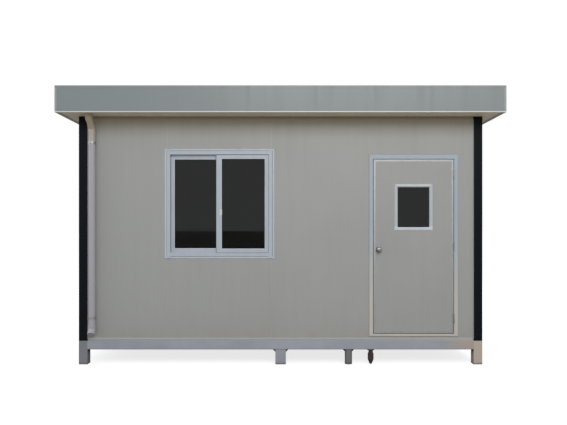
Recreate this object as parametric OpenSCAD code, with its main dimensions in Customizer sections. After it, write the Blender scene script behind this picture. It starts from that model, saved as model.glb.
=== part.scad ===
// Portable panel cabin on a steel base frame, with a flat roof behind a boxed fascia.
// The front looks towards -Y. The origin is on the ground at the centre of the footprint.
// All sizes are in millimetres.

/* [Body] */
// Width over the corner posts
body_w = 4450; // [3700:10:5400]
// Depth over the corner posts
body_d = 2500; // [2050:10:3100]
// Height from the top of the base frame to the underside of the eaves
wall_h = 2475; // [2250:5:3000]
// Side of a square corner post
post_w = 95; // [75:1:120]
// Wall thickness of a corner post
post_wall = 4; // [2:0.5:6]

/* [Base frame] */
// Clear height under the base beams
base_clear = 165; // [130:1:210]
// Height of a base beam
beam_h = 95; // [80:1:120]
// Thickness of a base beam, front to back
beam_t = 80; // [70:1:110]
// Wall thickness of the beams and joists
beam_wall = 4; // [2:0.5:6]
// Side of a square corner leg
leg_w = 95; // [85:1:160]
// Side of a square middle leg
middle_leg_w = 116; // [90:1:140]
// Wall thickness of a leg
leg_wall = 6; // [4:0.5:10]
// Side of the small triangular gusset between a leg and its beam
gusset = 30; // [20:1:45]
// Spacing of the floor joists
joist_pitch = 740; // [500:10:900]
// Height of a floor joist
joist_h = 75; // [50:1:80]
// Width of a floor joist
joist_w = 50; // [40:1:60]
// Thickness of the floor deck
deck_t = 20; // [15:1:26]

/* [Extra supports] */
// Distance of the round prop to the right of the centre
prop_x = 752; // [600:1:900]
// Diameter of the round prop
prop_d = 80; // [60:1:100]
// Distance of the jack to the right of the centre
jack_x = 999; // [940:1:1200]
// Diameter of the jack body
jack_d = 64; // [50:1:80]
// Diameter of the small foot under the jack's cone
jack_tip_d = 22; // [16:1:30]

/* [Walls] */
// Thickness of a sandwich panel
wall_t = 50; // [40:1:75]
// Distance of the panels' outer face behind the posts' outer face
wall_set = 12; // [8:1:20]
// Cover width of a full panel
panel_pitch = 1150; // [950:10:1250]
// Height of the lips of the tracks that hold the panels
track_h = 30; // [20:1:45]
// Width of the trim strip beside each corner post
trim_w = 30; // [20:1:45]

/* [Roof] */
// How far the roof reaches past the posts at the front and back
eave_long = 260; // [200:5:330]
// How far the roof reaches past the posts at the ends
eave_end = 160; // [110:5:230]
// Height of the fascia
fascia_h = 283; // [240:1:350]
// Height of the roof's edge beam
roof_beam_h = 100; // [75:1:115]
// Fall of the roof sheet from back to front
roof_fall = 60; // [30:1:70]
// Height of a rib in the roof sheet
rib_h = 25; // [15:1:30]
// Spacing of the ribs
rib_pitch = 200; // [150:5:300]
// Height of the bright capping along the top of the fascia
cap_h = 22; // [15:1:35]

/* [Window] */
// Centre of the window, from the centre of the cabin
window_x = -675; // [-900:5:-500]
// Height of the window's bottom edge above the base frame
window_sill = 910; // [700:5:1000]
// Height of the window over its outer flange
window_h = 1206; // [1000:1:1300]
// How far the window flange laps over the panels
window_lap = 28; // [20:1:40]
// Width of the window frame seen from the front, flange included
window_face = 60; // [50:1:75]
// Width of a sash stile
stile_w = 43; // [36:1:60]
// Width of the meeting stile in the middle
meeting_w = 63; // [55:1:80]
// Height of the front sash's rails
front_rail = 47; // [39:1:62]
// Height of the rear sash's rails
rear_rail = 50; // [42:1:72]

/* [Door] */
// Centre of the door, from the centre of the cabin
door_x = 1467; // [1300:1:1500]
// Height of the door frame's bottom edge above the base frame
door_sill = 53; // [45:1:70]
// Width of the door leaf
leaf_w = 882; // [735:1:1060]
// Height of the door leaf
leaf_h = 1917; // [1600:1:2000]
// Thickness of the door leaf
leaf_t = 40; // [34:1:45]
// Running gap around the door leaf
leaf_gap = 6.5; // [5:0.5:8]
// Width of the bright frame around the door leaf
edge_w = 22; // [16:1:30]
// Face width of the door jambs
jamb_face = 40.5; // [35:0.5:50]
// Face width of the door head
head_face = 47; // [40:1:60]
// Face height of the threshold
threshold_face = 24; // [22:1:35]
// Visible width of the vision glass
vision_w = 349; // [250:1:450]
// Visible height of the vision glass
vision_h = 441; // [300:1:550]
// Height of the vision glass's centre above the bottom of the leaf
vision_z = 1390; // [1200:5:1500]
// Width of the vision glass's bead
bead_w = 36; // [25:1:45]
// Height of the knob above the bottom of the leaf
knob_z = 922; // [850:1:1050]
// Distance of the knob from the free edge of the leaf
knob_in = 57; // [50:1:75]
// Diameter of the knob
knob_d = 56; // [45:1:62]

/* [Downspout] */
// Outer diameter of the pipe
pipe_d = 75; // [60:1:90]
// Centre of the pipe, inwards from the outer face of the left post
pipe_in = 157; // [145:1:200]
// How far the outlet stands in front of the run of pipe
pipe_offset = 110; // [90:1:130]
// Height of the pipe's mouth above the base frame
pipe_mouth = 55; // [40:1:120]

/* [Hidden] */

$fn = 48;

// Levels, from the ground up
base_top = base_clear + beam_h;
eave_z = base_top + wall_h;
lip_drop = 7;
fascia_bottom = eave_z - lip_drop;
fascia_top = fascia_bottom + fascia_h;

// Plan
half_w = body_w / 2;
half_d = body_d / 2;
face_x = half_w - wall_set;      // outer face of the end walls
face_y = half_d - wall_set;      // outer face of the front and back walls
inner_x = face_x - wall_t;       // inner faces of the walls
inner_y = face_y - wall_t;
post_in_x = half_w - post_w;     // inner faces of the posts
post_in_y = half_d - post_w;
roof_x = half_w + eave_end;      // outer faces of the fascias
roof_y = half_d + eave_long;

// Wall panels and their tracks
sheet = 2;                       // thickness of folded sheet metal
panel_bottom = base_top + sheet;
panel_top = eave_z - sheet;
seam = 1;                        // gap between two panels
seam_chamfer = 2.5;
tongue_t = 10;
tongue_l = 10;
groove_gap = 1;

// Base frame
gusset_in = 20;                  // back of a gusset, behind the outer face of the beam

// Roof
soffit_t = 10;
bracket_h = 40;
bracket_w = 40;
beam_roof_t = 38;
rafter_w = 40;
rafter_z = eave_z + roof_beam_h;
rafter_back_top = fascia_top - cap_h - rib_h - 12;
rafter_front_top = rafter_back_top - roof_fall;
cap_w = 40;
ledge_w = 35;
seam_gap = 0.5;
mitre_depth = 60;
lip_h = 10;
lip_t = 3;
gutter_w = 160;
gutter_z = eave_z + soffit_t + bracket_h;
gutter_top = rafter_front_top - 8;
gutter_front = -(roof_y - sheet);
gutter_back = gutter_front + gutter_w;
gutter_end = roof_x - sheet - 1;
rafter_front = gutter_back + 4;
rafter_back = roof_y - sheet;
slope = atan(roof_fall / (rafter_back - rafter_front));
sheet_lap = 24;                  // how far the roof sheet reaches over the gutter

// Downspout
pipe_r = pipe_d / 2;
pipe_x = -(half_w - pipe_in);
pipe_run_y = -(face_y + 12 + pipe_r);
pipe_top_y = pipe_run_y - pipe_offset;
elbow_r = pipe_r + 2.5;
pipe_in_elbow = 6;
bend_r = 60;
bend_a = 45;
bend_side = bend_r * (1 - cos(bend_a));
bend_drop = bend_r * sin(bend_a);
offset_run = (pipe_offset - 2 * bend_side) / sin(bend_a);
run_top = eave_z - 2 * bend_drop - offset_run * cos(bend_a);
shoe_a = 40;
shoe_l = 30;
collar_t = 4;
collar_l = 22;
mouth_deep = 45;
pipe_wall = 3;
run_bottom = base_top + pipe_mouth + bend_r * sin(shoe_a) + shoe_l * cos(shoe_a)
    + (pipe_r + collar_t) * sin(shoe_a);
clip_h = 26;
clip_t = 3;
clip_gap = 0.3;
clip_levels = [base_top + 0.1 * wall_h, base_top + 0.875 * wall_h];

// Window, measured from its own centre where a name starts with w_
window_w = panel_pitch + 2 * window_lap;
window_bottom = base_top + window_sill;
window_top = window_bottom + window_h;
w_half = window_w / 2;
w_flange = 20;                   // width of the thin outer flange
w_flange_t = 3;
w_proud = 12;
w_back = 8;
w_clear = 3;
w_in = w_half - window_face;
w_body = panel_pitch / 2 - w_clear;
sash_t = 26;
sash_gap = 5;
rib_t = 3;
rib_up = 6;
pane_t = 5;
pane_bite = 8;
bead_step = 10;
bead_deep = 4;
sash_front_y = -(face_y + w_proud - 6);
sash_rear_y = sash_front_y + sash_t + sash_gap;
light_bottom = window_bottom + window_face;
light_top = window_top - window_face;
sash_top_gap = 2;
latch_w = 27;
latch_h = 72;
latch_z = window_bottom + 0.42 * window_h;

// Door
door_bottom = base_top + door_sill;
frame_lap = 20;
leaf_bottom = door_bottom + threshold_face + leaf_gap;
leaf_top = leaf_bottom + leaf_h;
leaf_left = door_x - leaf_w / 2;
leaf_right = door_x + leaf_w / 2;
jamb_in = leaf_w / 2 + leaf_gap;
jamb_out = jamb_in + jamb_face;
door_top = leaf_top + leaf_gap + head_face;
open_left = door_x - jamb_out + frame_lap;
open_right = door_x + jamb_out - frame_lap;
open_bottom = door_bottom + frame_lap;
open_top = door_top - frame_lap;
door_proud = 10;
frame_y = -(face_y + door_proud);
leaf_y = frame_y + 2;            // front face of the leaf
leaf_back_y = leaf_y + leaf_t;
stop_y = leaf_back_y + leaf_gap;
stop_w = 15;
skin_set = 1;                    // how far the leaf's skins lie inside its edge frame
bead_t = 8;
bead_slope = 8;
vision_bite = 16;
vision_gap = 3;
vision_t = 5;
vision_mid = leaf_bottom + vision_z;

// Hinges: the pin stands in the gap beside the leaf, just in front of its face
pin_x = leaf_right + leaf_gap / 2;
pin_y = leaf_y - 8;
knuckle_r = 6;
pin_r = 3;
pin_gap = 0.3;
hinge_h = 100;
hinge_leaf_t = 2;
hinge_leaf_y = knuckle_r + 1;
hinge_leaf_l = 34;
knuckle_h = hinge_h / 3;
knuckle_gap = 0.5;
hinge_levels = [leaf_bottom + 160, leaf_bottom + leaf_h / 2, leaf_top - 160];

// Knob
knob_x = leaf_left + knob_in;
knob_level = leaf_bottom + knob_z;
rosette_r = 32;
rosette_t = 5;
neck_r = 11;
spindle_r = 6;
knob_l = 52;
run_gap = 0.3;

wall_colour = "#d4d2c8";
steel_colour = "#9a9da2";
dark_colour = "#22262c";
white_colour = "#e8eaec";

// A box between two corners
module block(low, high) {
    translate(low) cube(high - low);
}

// The same piece on both sides of the cabin's centre line
module both_ends() {
    children();
    mirror([1, 0, 0]) children();
}

// The same piece at the front and the back
module front_and_back() {
    children();
    mirror([0, 1, 0]) children();
}

// An outline in the Y-Z plane, drawn out along X between two ends
module run_x(x0, x1) {
    translate([x0, 0, 0]) rotate([90, 0, 90]) linear_extrude(x1 - x0) children();
}

// A rectangular hollow section along X
module tube_x(low, high, wall) {
    difference() {
        block(low, high);
        block([low.x - 1, low.y + wall, low.z + wall], [high.x + 1, high.y - wall, high.z - wall]);
    }
}

// A rectangular hollow section along Y
module tube_y(low, high, wall) {
    difference() {
        block(low, high);
        block([low.x + wall, low.y - 1, low.z + wall], [high.x - wall, high.y + 1, high.z - wall]);
    }
}

// ---------- Base ----------

// A gusset: an upright triangle under the beam, with its upper corner at the origin
module gusset_plate() {
    rotate([90, 0, 0]) linear_extrude(leg_wall) polygon([[0, 0], [gusset, 0], [0, -gusset]]);
}

// A box leg with a closed foot plate
module box_leg(side, height) {
    difference() {
        translate([-side / 2, -side / 2, 0]) cube([side, side, height]);
        translate([leg_wall - side / 2, leg_wall - side / 2, leg_wall])
            cube([side - 2 * leg_wall, side - 2 * leg_wall, height - 2 * leg_wall]);
    }
}

module legs() {
    color(steel_colour) front_and_back() {
        both_ends() translate([half_w - leg_w / 2, leg_w / 2 - half_d, 0])
            box_leg(leg_w, base_top);
        translate([0, middle_leg_w / 2 - half_d, 0]) box_leg(middle_leg_w, base_clear);
    }
}

// Gussets between the beams and the legs, and on both sides of the round prop
module leg_gussets() {
    color("#2a2b2d") {
        front_and_back() both_ends() translate([0, -half_d, base_clear]) {
            translate([middle_leg_w / 2, gusset_in, 0]) gusset_plate();
            translate([half_w - leg_w, gusset_in, 0]) mirror([1, 0, 0]) gusset_plate();
            translate([half_w - gusset_in, leg_w, 0]) rotate([0, 0, 90]) gusset_plate();
        }
        translate([prop_x, beam_t / 2 - half_d, base_clear]) both_ends()
            translate([prop_d / 2, leg_wall / 2, 0]) gusset_plate();
    }
}

module round_prop() {
    color("#66696b") translate([prop_x, beam_t / 2 - half_d, 0]) {
        cylinder(d = prop_d, h = base_clear);
    }
}

// A screw jack standing on its cone, with a round head under the beam
module screw_jack() {
    cone_h = base_clear * 0.3;
    head_h = 12;
    color("#3c2a30") translate([jack_x, beam_t / 2 - half_d, 0]) rotate_extrude() polygon([
        [0, 0],
        [jack_tip_d / 2, 0],
        [jack_d / 2, cone_h],
        [jack_d / 2, base_clear * 0.72],
        [jack_d / 2 - 8, base_clear * 0.72],
        [jack_d / 2 - 8, base_clear - head_h],
        [jack_d / 2 + 6, base_clear - head_h],
        [jack_d / 2 + 6, base_clear],
        [0, base_clear]
    ]);
}

module base_beams() {
    color(steel_colour) {
        front_and_back() tube_x(
            [-(half_w - leg_w), -half_d, base_clear],
            [half_w - leg_w, beam_t - half_d, base_top], beam_wall);
        both_ends() tube_y(
            [half_w - beam_t, -(half_d - leg_w), base_clear],
            [half_w, half_d - leg_w, base_top], beam_wall);
    }
}

module floor_joists() {
    count = floor((half_w - beam_t - joist_w) / joist_pitch);
    color(steel_colour) for (i = [-count:count]) translate([i * joist_pitch, 0, 0])
        tube_y(
            [-joist_w / 2, beam_t - half_d, base_top - joist_h],
            [joist_w / 2, half_d - beam_t, base_top], beam_wall - 1);
}

// The deck lies between the tracks and is notched around the posts
module floor_deck() {
    edge = sheet + 1;
    color("#8c7a5e") translate([0, 0, base_top]) linear_extrude(deck_t) difference() {
        square([2 * (inner_x - edge), 2 * (inner_y - edge)], center = true);
        for (sx = [-1, 1]) for (sy = [-1, 1]) translate([sx * half_w, sy * half_d])
            square(2 * (post_w + 1), center = true);
    }
}

// ---------- Walls ----------

module corner_posts() {
    color(dark_colour) both_ends() front_and_back() difference() {
        block([post_in_x, -half_d, base_top], [half_w, -post_in_y, eave_z]);
        block(
            [post_in_x + post_wall, post_wall - half_d, base_top + post_wall],
            [half_w - post_wall, -(post_in_y + post_wall), eave_z - post_wall]);
    }
}

// Section of the track that a wall stands in: a web and two lips, in Y and Z
module track_section() {
    difference() {
        translate([-sheet, 0]) square([wall_t + 2 * sheet, track_h]);
        translate([0, sheet]) square([wall_t, track_h]);
    }
}

// Tracks under and over one wall, whose outer face is at -face and which is as long as given
module wall_track_pair(face, length) {
    translate([0, -face, base_top]) run_x(-length / 2, length / 2) track_section();
    translate([0, -face, eave_z]) mirror([0, 0, 1]) run_x(-length / 2, length / 2) track_section();
}

module wall_tracks() {
    color("#a9acae") {
        front_and_back() wall_track_pair(face_y, 2 * post_in_x);
        both_ends() rotate([0, 0, 90]) wall_track_pair(face_x, 2 * post_in_y);
    }
}

// Plan outline of a sandwich panel from x0 to x1, outer face on the X axis.
// An edge is plain, or has the groove (left) or the tongue (right) of the panel joint.
module panel_outline(x0, x1, groove, tongue) {
    left = x0 + (groove ? seam / 2 : 0);
    right = x1 - (tongue ? seam / 2 : 0);
    mid = wall_t / 2;
    slot = tongue_t / 2 + groove_gap;
    left_edge = groove ? [
        [left, wall_t],
        [left, mid + slot],
        [left + tongue_l + 2 * groove_gap, mid + slot],
        [left + tongue_l + 2 * groove_gap, mid - slot],
        [left, mid - slot],
        [left, seam_chamfer],
        [left + seam_chamfer, 0]
    ] : [[left, wall_t], [left, 0]];
    right_edge = tongue ? [
        [right - seam_chamfer, 0],
        [right, seam_chamfer],
        [right, mid - tongue_t / 2],
        [right + tongue_l, mid - tongue_t / 2],
        [right + tongue_l, mid + tongue_t / 2],
        [right, mid + tongue_t / 2],
        [right, wall_t]
    ] : [[right, 0], [right, wall_t]];
    polygon(concat(left_edge, right_edge));
}

// One panel of the front wall, between two levels
module front_panel(x0, x1, z0, z1, groove = false, tongue = false) {
    translate([0, -face_y, z0]) linear_extrude(z1 - z0) panel_outline(x0, x1, groove, tongue);
}

// A whole row of panels, laid from the left. The last one is cut to fit, and takes up a rest
// that is too narrow for a panel of its own.
module panel_row(length) {
    count = max(1, ceil(length / panel_pitch - 0.1));
    for (i = [0:count - 1])
        panel_outline(
            i * panel_pitch - length / 2,
            i == count - 1 ? length / 2 : (i + 1) * panel_pitch - length / 2,
            i > 0, i < count - 1);
}

window_left = window_x - panel_pitch / 2;
window_right = window_x + panel_pitch / 2;

// Its tongue is cut away beside the window
module left_front_panel() {
    color(wall_colour) difference() {
        front_panel(-post_in_x, window_left, panel_bottom, panel_top, tongue = true);
        block(
            [window_left, -half_d, window_bottom + window_lap],
            [window_left + 2 * tongue_l, 0, window_top - window_lap]);
    }
}

// The two pieces of the panel that the window is let into
module window_panel() {
    color(wall_colour) {
        front_panel(
            window_left, window_right, panel_bottom, window_bottom + window_lap, true, true);
        front_panel(window_left, window_right, window_top - window_lap, panel_top, true, true);
    }
}

module middle_front_panel() {
    color(wall_colour)
        front_panel(window_right, open_left, panel_bottom, panel_top, groove = true);
}

// The two pieces of wall under and over the doorway
module door_panel() {
    color(wall_colour) {
        front_panel(open_left, open_right, panel_bottom, open_bottom);
        front_panel(open_left, open_right, open_top, panel_top);
    }
}

module right_front_panel() {
    color(wall_colour) front_panel(open_right, post_in_x, panel_bottom, panel_top);
}

module back_wall_panels() {
    color(wall_colour) mirror([0, 1, 0]) translate([0, -face_y, panel_bottom])
        linear_extrude(panel_top - panel_bottom) panel_row(2 * post_in_x);
}

module end_wall_panels() {
    color(wall_colour) both_ends() rotate([0, 0, 90]) translate([0, -face_x, panel_bottom])
        linear_extrude(panel_top - panel_bottom) panel_row(2 * post_in_y);
}

// An angle in the corner between a wall's face and the side of a post
module corner_trim(face, post_side) {
    reach = wall_set;
    translate([post_side, -face, base_top + track_h])
        linear_extrude(wall_h - 2 * track_h)
            polygon([
                [0, 0], [-trim_w, 0], [-trim_w, -sheet], [-sheet, -sheet],
                [-sheet, -reach], [0, -reach]
            ]);
}

module wall_corner_trims() {
    color("#b9bcbe") {
        both_ends() front_and_back() corner_trim(face_y, post_in_x);
        both_ends() front_and_back() mirror([1, 0, 0]) rotate([0, 0, -90])
            corner_trim(face_x, post_in_y);
    }
}

// ---------- Roof ----------

module ceiling_panels() {
    edge_x = half_w - beam_roof_t - 1;
    edge_y = half_d - beam_roof_t - 1;
    color("#e2e2de") translate([0, edge_y, eave_z]) rotate([90, 0, 0])
        linear_extrude(2 * edge_y) panel_row(2 * edge_x);
}

module roof_long_beams() {
    color(steel_colour) front_and_back() tube_x(
        [-half_w, -half_d, eave_z], [half_w, beam_roof_t - half_d, rafter_z], beam_wall - 1);
}

module roof_end_beams() {
    color(steel_colour) both_ends() tube_y(
        [half_w - beam_roof_t, beam_roof_t - half_d, eave_z],
        [half_w, half_d - beam_roof_t, rafter_z], beam_wall - 1);
}

// Wedge-shaped rafters give the roof sheet its fall
module rafters() {
    count = 2;
    pitch = (half_w - rafter_w / 2) / count;
    color(steel_colour) for (i = [-count:count])
        run_x(i * pitch - rafter_w / 2, i * pitch + rafter_w / 2) polygon([
            [rafter_front, rafter_z],
            [rafter_back, rafter_z],
            [rafter_back, rafter_back_top],
            [rafter_front, rafter_front_top]
        ]);
}

// Height of the ribbed sheet's underside, point by point across one rib
function rib_points(x) = [
    [x - rib_pitch * 0.16, 0], [x - rib_pitch * 0.08, rib_h],
    [x + rib_pitch * 0.08, rib_h], [x + rib_pitch * 0.16, 0]
];

module roof_sheet() {
    edge = roof_x - sheet - 3;
    count = floor((edge - rib_pitch * 0.2) / rib_pitch);
    under = concat([[-edge, 0]], [for (i = [-count:count]) each rib_points(i * rib_pitch)], [[edge, 0]]);
    over = [for (i = [len(under) - 1:-1:0]) under[i] + [0, sheet]];
    length = (rafter_back - rafter_front) / cos(slope) - 8;
    seat = 0.3;
    color("#aab0b4") translate([0, rafter_front, rafter_front_top + seat]) rotate([slope, 0, 0])
        translate([0, length, 0]) rotate([90, 0, 0])
            linear_extrude(length + sheet_lap) polygon(concat(under, over));
}

// The bottom of the box gutter behind the front fascia, with an outlet over the downspout
module gutter_sole() {
    color("#a9acae") difference() {
        block(
            [-gutter_end, gutter_front, gutter_z],
            [gutter_end, gutter_back, gutter_z + sheet]);
        translate([pipe_x, pipe_top_y, gutter_z - 1]) cylinder(r = pipe_r - pipe_wall, h = sheet + 2);
    }
}

// The gutter's long walls stand on its bottom, with a stop end between them at each end
module gutter_walls() {
    floor_z = gutter_z + sheet;
    color("#a9acae") {
        for (y = [gutter_front, gutter_back - sheet])
            block([-gutter_end, y, floor_z], [gutter_end, y + sheet, gutter_top]);
        both_ends() block(
            [gutter_end - sheet, gutter_front + sheet + seam_gap, floor_z],
            [gutter_end, gutter_back - sheet - seam_gap, gutter_top]);
    }
}

// Short brackets from the roof beams out to the fascias
module eave_brackets() {
    low = eave_z + soffit_t;
    high = low + bracket_h;
    color(steel_colour) {
        front_and_back() for (i = [-2:2]) translate([i * (half_w - bracket_w) / 2, 0, 0]) block(
            [-bracket_w / 2, -(roof_y - sheet), low], [bracket_w / 2, -half_d, high]);
        both_ends() for (i = [-1:1]) translate([0, i * (half_d - bracket_w), 0]) block(
            [half_w, -bracket_w / 2, low], [roof_x - sheet, bracket_w / 2, high]);
    }
}

module soffit_long_boards() {
    color("#a69a83") difference() {
        front_and_back() block(
            [-(roof_x - sheet), -(roof_y - sheet), eave_z],
            [roof_x - sheet, -half_d, eave_z + soffit_t]);
        translate([pipe_x, pipe_top_y, eave_z - 1]) cylinder(r = pipe_r + 1, h = soffit_t + 2);
    }
}

module soffit_end_boards() {
    color("#a69a83") both_ends() block(
        [half_w, -half_d, eave_z], [roof_x - sheet, half_d, eave_z + soffit_t]);
}

// Cuts both ends of a run along X to 45 degrees, so that four runs make a frame
module mitred(length) {
    intersection() {
        children();
        translate([0, 0, -1000]) linear_extrude(2000) polygon([
            [-length / 2, 0],
            [length / 2, 0],
            [length / 2 - mitre_depth, mitre_depth],
            [mitre_depth - length / 2, mitre_depth]
        ]);
    }
}

// One side of the fascia: a flat sheet with a hemmed lip along its bottom edge
module fascia_run(length) {
    top = fascia_h - sheet;
    mitred(length) run_x(-length / 2, length / 2) polygon([
        [0, 0],
        [lip_t, 0],
        [lip_t, lip_drop - sheet],
        [lip_t + sheet, lip_drop - sheet],
        [lip_t + sheet, top],
        [lip_t, top],
        [lip_t, lip_h],
        [0, lip_h]
    ]);
}

module long_fascias() {
    color("#8f9699") front_and_back() translate([0, -(roof_y + lip_t), fascia_bottom])
        fascia_run(2 * (roof_x + lip_t));
}

module end_fascias() {
    color("#8f9699") both_ends() rotate([0, 0, 90])
        translate([0, -(roof_x + lip_t), fascia_bottom]) fascia_run(2 * (roof_y + lip_t));
}

// Strips behind the fascia's bottom edge, which carry the outer edges of the soffit boards
module soffit_ledges() {
    out_x = roof_x - sheet;
    out_y = roof_y - sheet;
    low = fascia_bottom + lip_drop - sheet;
    color("#8f9699") {
        front_and_back() block([-out_x, -out_y, low], [out_x, ledge_w - out_y, low + sheet]);
        both_ends() block(
            [out_x - ledge_w, ledge_w + seam_gap - out_y, low],
            [out_x, out_y - ledge_w - seam_gap, low + sheet]);
    }
}

// The capping folded over the top of the fascia
module cap_run(length) {
    mitred(length) run_x(-length / 2, length / 2) polygon([
        [0, -cap_h],
        [sheet, -cap_h],
        [sheet, -sheet],
        [cap_w + sheet, -sheet],
        [cap_w + sheet, -cap_h],
        [cap_w + 2 * sheet, -cap_h],
        [cap_w + 2 * sheet, 0],
        [0, 0]
    ]);
}

module roof_long_caps() {
    color("#a7adb1") front_and_back() translate([0, -(roof_y + sheet), fascia_top])
        cap_run(2 * (roof_x + sheet));
}

module roof_end_caps() {
    color("#a7adb1") both_ends() rotate([0, 0, 90])
        translate([0, -(roof_x + sheet), fascia_top]) cap_run(2 * (roof_y + sheet));
}

// An angle over each outer corner of the fascia
module fascia_corner_trims() {
    leg = 22;
    height = fascia_h - lip_h - cap_h;
    color("#a7adb1") both_ends() front_and_back()
        translate([roof_x + sheet, -(roof_y + sheet), fascia_bottom + lip_h])
            linear_extrude(height) polygon([
                [0, 0], [-leg, 0], [-leg, sheet], [-sheet, sheet], [-sheet, leg], [0, leg]
            ]);
}

// ---------- Downspout ----------

// An elbow in the Y-Z plane, a little wider than the pipe that it sleeves. It starts at the
// origin heading down, and turns towards +Y through the angle given.
module pipe_bend(angle) {
    translate([0, bend_r, 0]) rotate([0, 90, 0]) rotate([0, 0, -90])
        rotate_extrude(angle = angle) translate([bend_r, 0]) circle(r = elbow_r);
}

module downspout() {
    color("#e4e6ea") {
        // Outlet from the gutter down to the eaves
        translate([pipe_x, pipe_top_y, eave_z - pipe_in_elbow])
            cylinder(r = pipe_r, h = soffit_t + bracket_h + pipe_in_elbow);
        // Offset back to the wall
        translate([pipe_x, pipe_top_y, eave_z]) {
            pipe_bend(bend_a);
            translate([0, bend_side, -bend_drop]) rotate([bend_a, 0, 0])
                translate([0, 0, -(offset_run + pipe_in_elbow)])
                    cylinder(r = pipe_r, h = offset_run + 2 * pipe_in_elbow);
        }
        translate([pipe_x, pipe_run_y, run_top]) rotate([180, 0, 0]) pipe_bend(bend_a);
        // Run down the wall and the shoe at its foot
        difference() {
            union() {
                translate([pipe_x, pipe_run_y, run_bottom - pipe_in_elbow])
                    cylinder(r = pipe_r, h = run_top - run_bottom + 2 * pipe_in_elbow);
                translate([pipe_x, pipe_run_y, run_bottom]) mirror([0, 1, 0]) {
                    pipe_bend(shoe_a);
                    shoe_end() {
                        cylinder(r = pipe_r, h = shoe_l + pipe_in_elbow);
                        cylinder(r = pipe_r + collar_t, h = collar_l);
                    }
                }
            }
            translate([pipe_x, pipe_run_y, run_bottom]) mirror([0, 1, 0])
                shoe_end() translate([0, 0, -1]) cylinder(r = pipe_r - pipe_wall, h = mouth_deep + 1);
        }
    }
}

// Places its children at the mouth of the shoe, with Z running back up the pipe
module shoe_end() {
    translate([0, bend_r * (1 - cos(shoe_a)), -bend_r * sin(shoe_a)]) rotate([shoe_a, 0, 0])
        translate([0, 0, -shoe_l]) children();
}

// Bands round the pipe, each on a short stem from the wall
module downspout_clips() {
    band_r = pipe_r + clip_gap + clip_t;
    color("#b4b8bc") for (level = clip_levels) translate([pipe_x, pipe_run_y, level]) difference() {
        union() {
            cylinder(r = band_r, h = clip_h);
            translate([-9, pipe_r, 0]) cube([18, -face_y - pipe_run_y - pipe_r, clip_h]);
        }
        translate([0, 0, -1]) cylinder(r = pipe_r + clip_gap, h = clip_h + 2);
    }
}

// ---------- Window ----------

// Each jamb has a face in front of the panels and a body inside the opening
module window_jambs() {
    inset = window_lap + w_clear;
    color(white_colour) for (way = [0, 1]) translate([window_x, 0, window_bottom])
        mirror([way, 0, 0]) {
            linear_extrude(window_h) polygon([
                [w_half, -face_y],
                [w_half, -(face_y + w_flange_t)],
                [w_half - w_flange, -(face_y + w_flange_t)],
                [w_half - w_flange, -(face_y + w_proud)],
                [w_in, -(face_y + w_proud)],
                [w_in, -face_y]
            ]);
            block([w_in, -face_y - 0.5, inset], [w_body, w_back - inner_y, window_h - inset]);
        }
}

// Section of the head and the sill in Y and Z, outer edge at zero and the light above it.
// A rib between the sashes stands up from it.
module window_rail_section() {
    body = window_lap + w_clear;
    rib_y = sash_rear_y - sash_gap / 2;
    polygon([
        [-face_y, 0],
        [-(face_y + w_flange_t), 0],
        [-(face_y + w_flange_t), w_flange],
        [-(face_y + w_proud), w_flange],
        [-(face_y + w_proud), window_face],
        [rib_y - rib_t / 2, window_face],
        [rib_y - rib_t / 2, window_face + rib_up],
        [rib_y + rib_t / 2, window_face + rib_up],
        [rib_y + rib_t / 2, window_face],
        [-(inner_y - w_back), window_face],
        [-(inner_y - w_back), body],
        [-face_y, body]
    ]);
}

module window_head_and_sill() {
    color(white_colour) {
        translate([window_x, 0, window_bottom]) run_x(-w_in, w_in) window_rail_section();
        translate([window_x, 0, window_top]) mirror([0, 0, 1])
            run_x(-w_in, w_in) window_rail_section();
    }
}

// A sash from x0 to x1 with its front face at y. The glass is let into all four sides.
module sash(x0, x1, y, left, right, rail) {
    low = light_bottom;
    high = light_top - sash_top_gap;
    pane_y = y + (sash_t - pane_t) / 2;
    difference() {
        block([x0, y, low], [x1, y + sash_t, high]);
        block([x0 + left, y - 1, low + rail], [x1 - right, y + sash_t + 1, high - rail]);
        block(
            [x0 + left - bead_step, y - 1, low + rail - bead_step],
            [x1 - right + bead_step, y + bead_deep, high - rail + bead_step]);
        block(
            [x0 + left - pane_bite, pane_y, low + rail - pane_bite],
            [x1 - right + pane_bite, pane_y + pane_t, high - rail + pane_bite]);
    }
}

// The glass of a sash with the same arguments
module sash_pane(x0, x1, y, left, right, rail) {
    pane_y = y + (sash_t - pane_t) / 2;
    block(
        [x0 + left - pane_bite, pane_y, light_bottom + rail - pane_bite],
        [x1 - right + pane_bite, pane_y + pane_t, light_top - sash_top_gap - rail + pane_bite]);
}

meeting_right = 26;              // right edge of the meeting stile, from the window's centre
front_left = window_x + meeting_right - meeting_w;
front_right = window_x + w_in;
rear_left = window_x - w_in;
rear_right = window_x + meeting_right;

module rear_sash() {
    color(white_colour) sash(rear_left, rear_right, sash_rear_y, stile_w, stile_w, rear_rail);
}

module front_sash() {
    color(white_colour) sash(front_left, front_right, sash_front_y, meeting_w, stile_w, front_rail);
}

module window_panes() {
    color("#30383c", 0.6) {
        sash_pane(rear_left, rear_right, sash_rear_y, stile_w, stile_w, rear_rail);
        sash_pane(front_left, front_right, sash_front_y, meeting_w, stile_w, front_rail);
    }
}

// An oval finger pull screwed to the meeting stile's edge
module window_latch() {
    latch_t = 8;
    overlap = 14;
    color("#f4f4f2") translate([window_x + meeting_right - bead_step - overlap + latch_w / 2,
        sash_front_y, latch_z]) rotate([90, 0, 0]) {
        for (way = [-1, 1]) translate([0, way * (latch_h - latch_w) / 2, 0])
            cylinder(d = latch_w, h = latch_t);
        translate([-latch_w / 2, -(latch_h - latch_w) / 2, 0])
            cube([latch_w, latch_h - latch_w, latch_t]);
    }
}

// ---------- Door ----------

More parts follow.
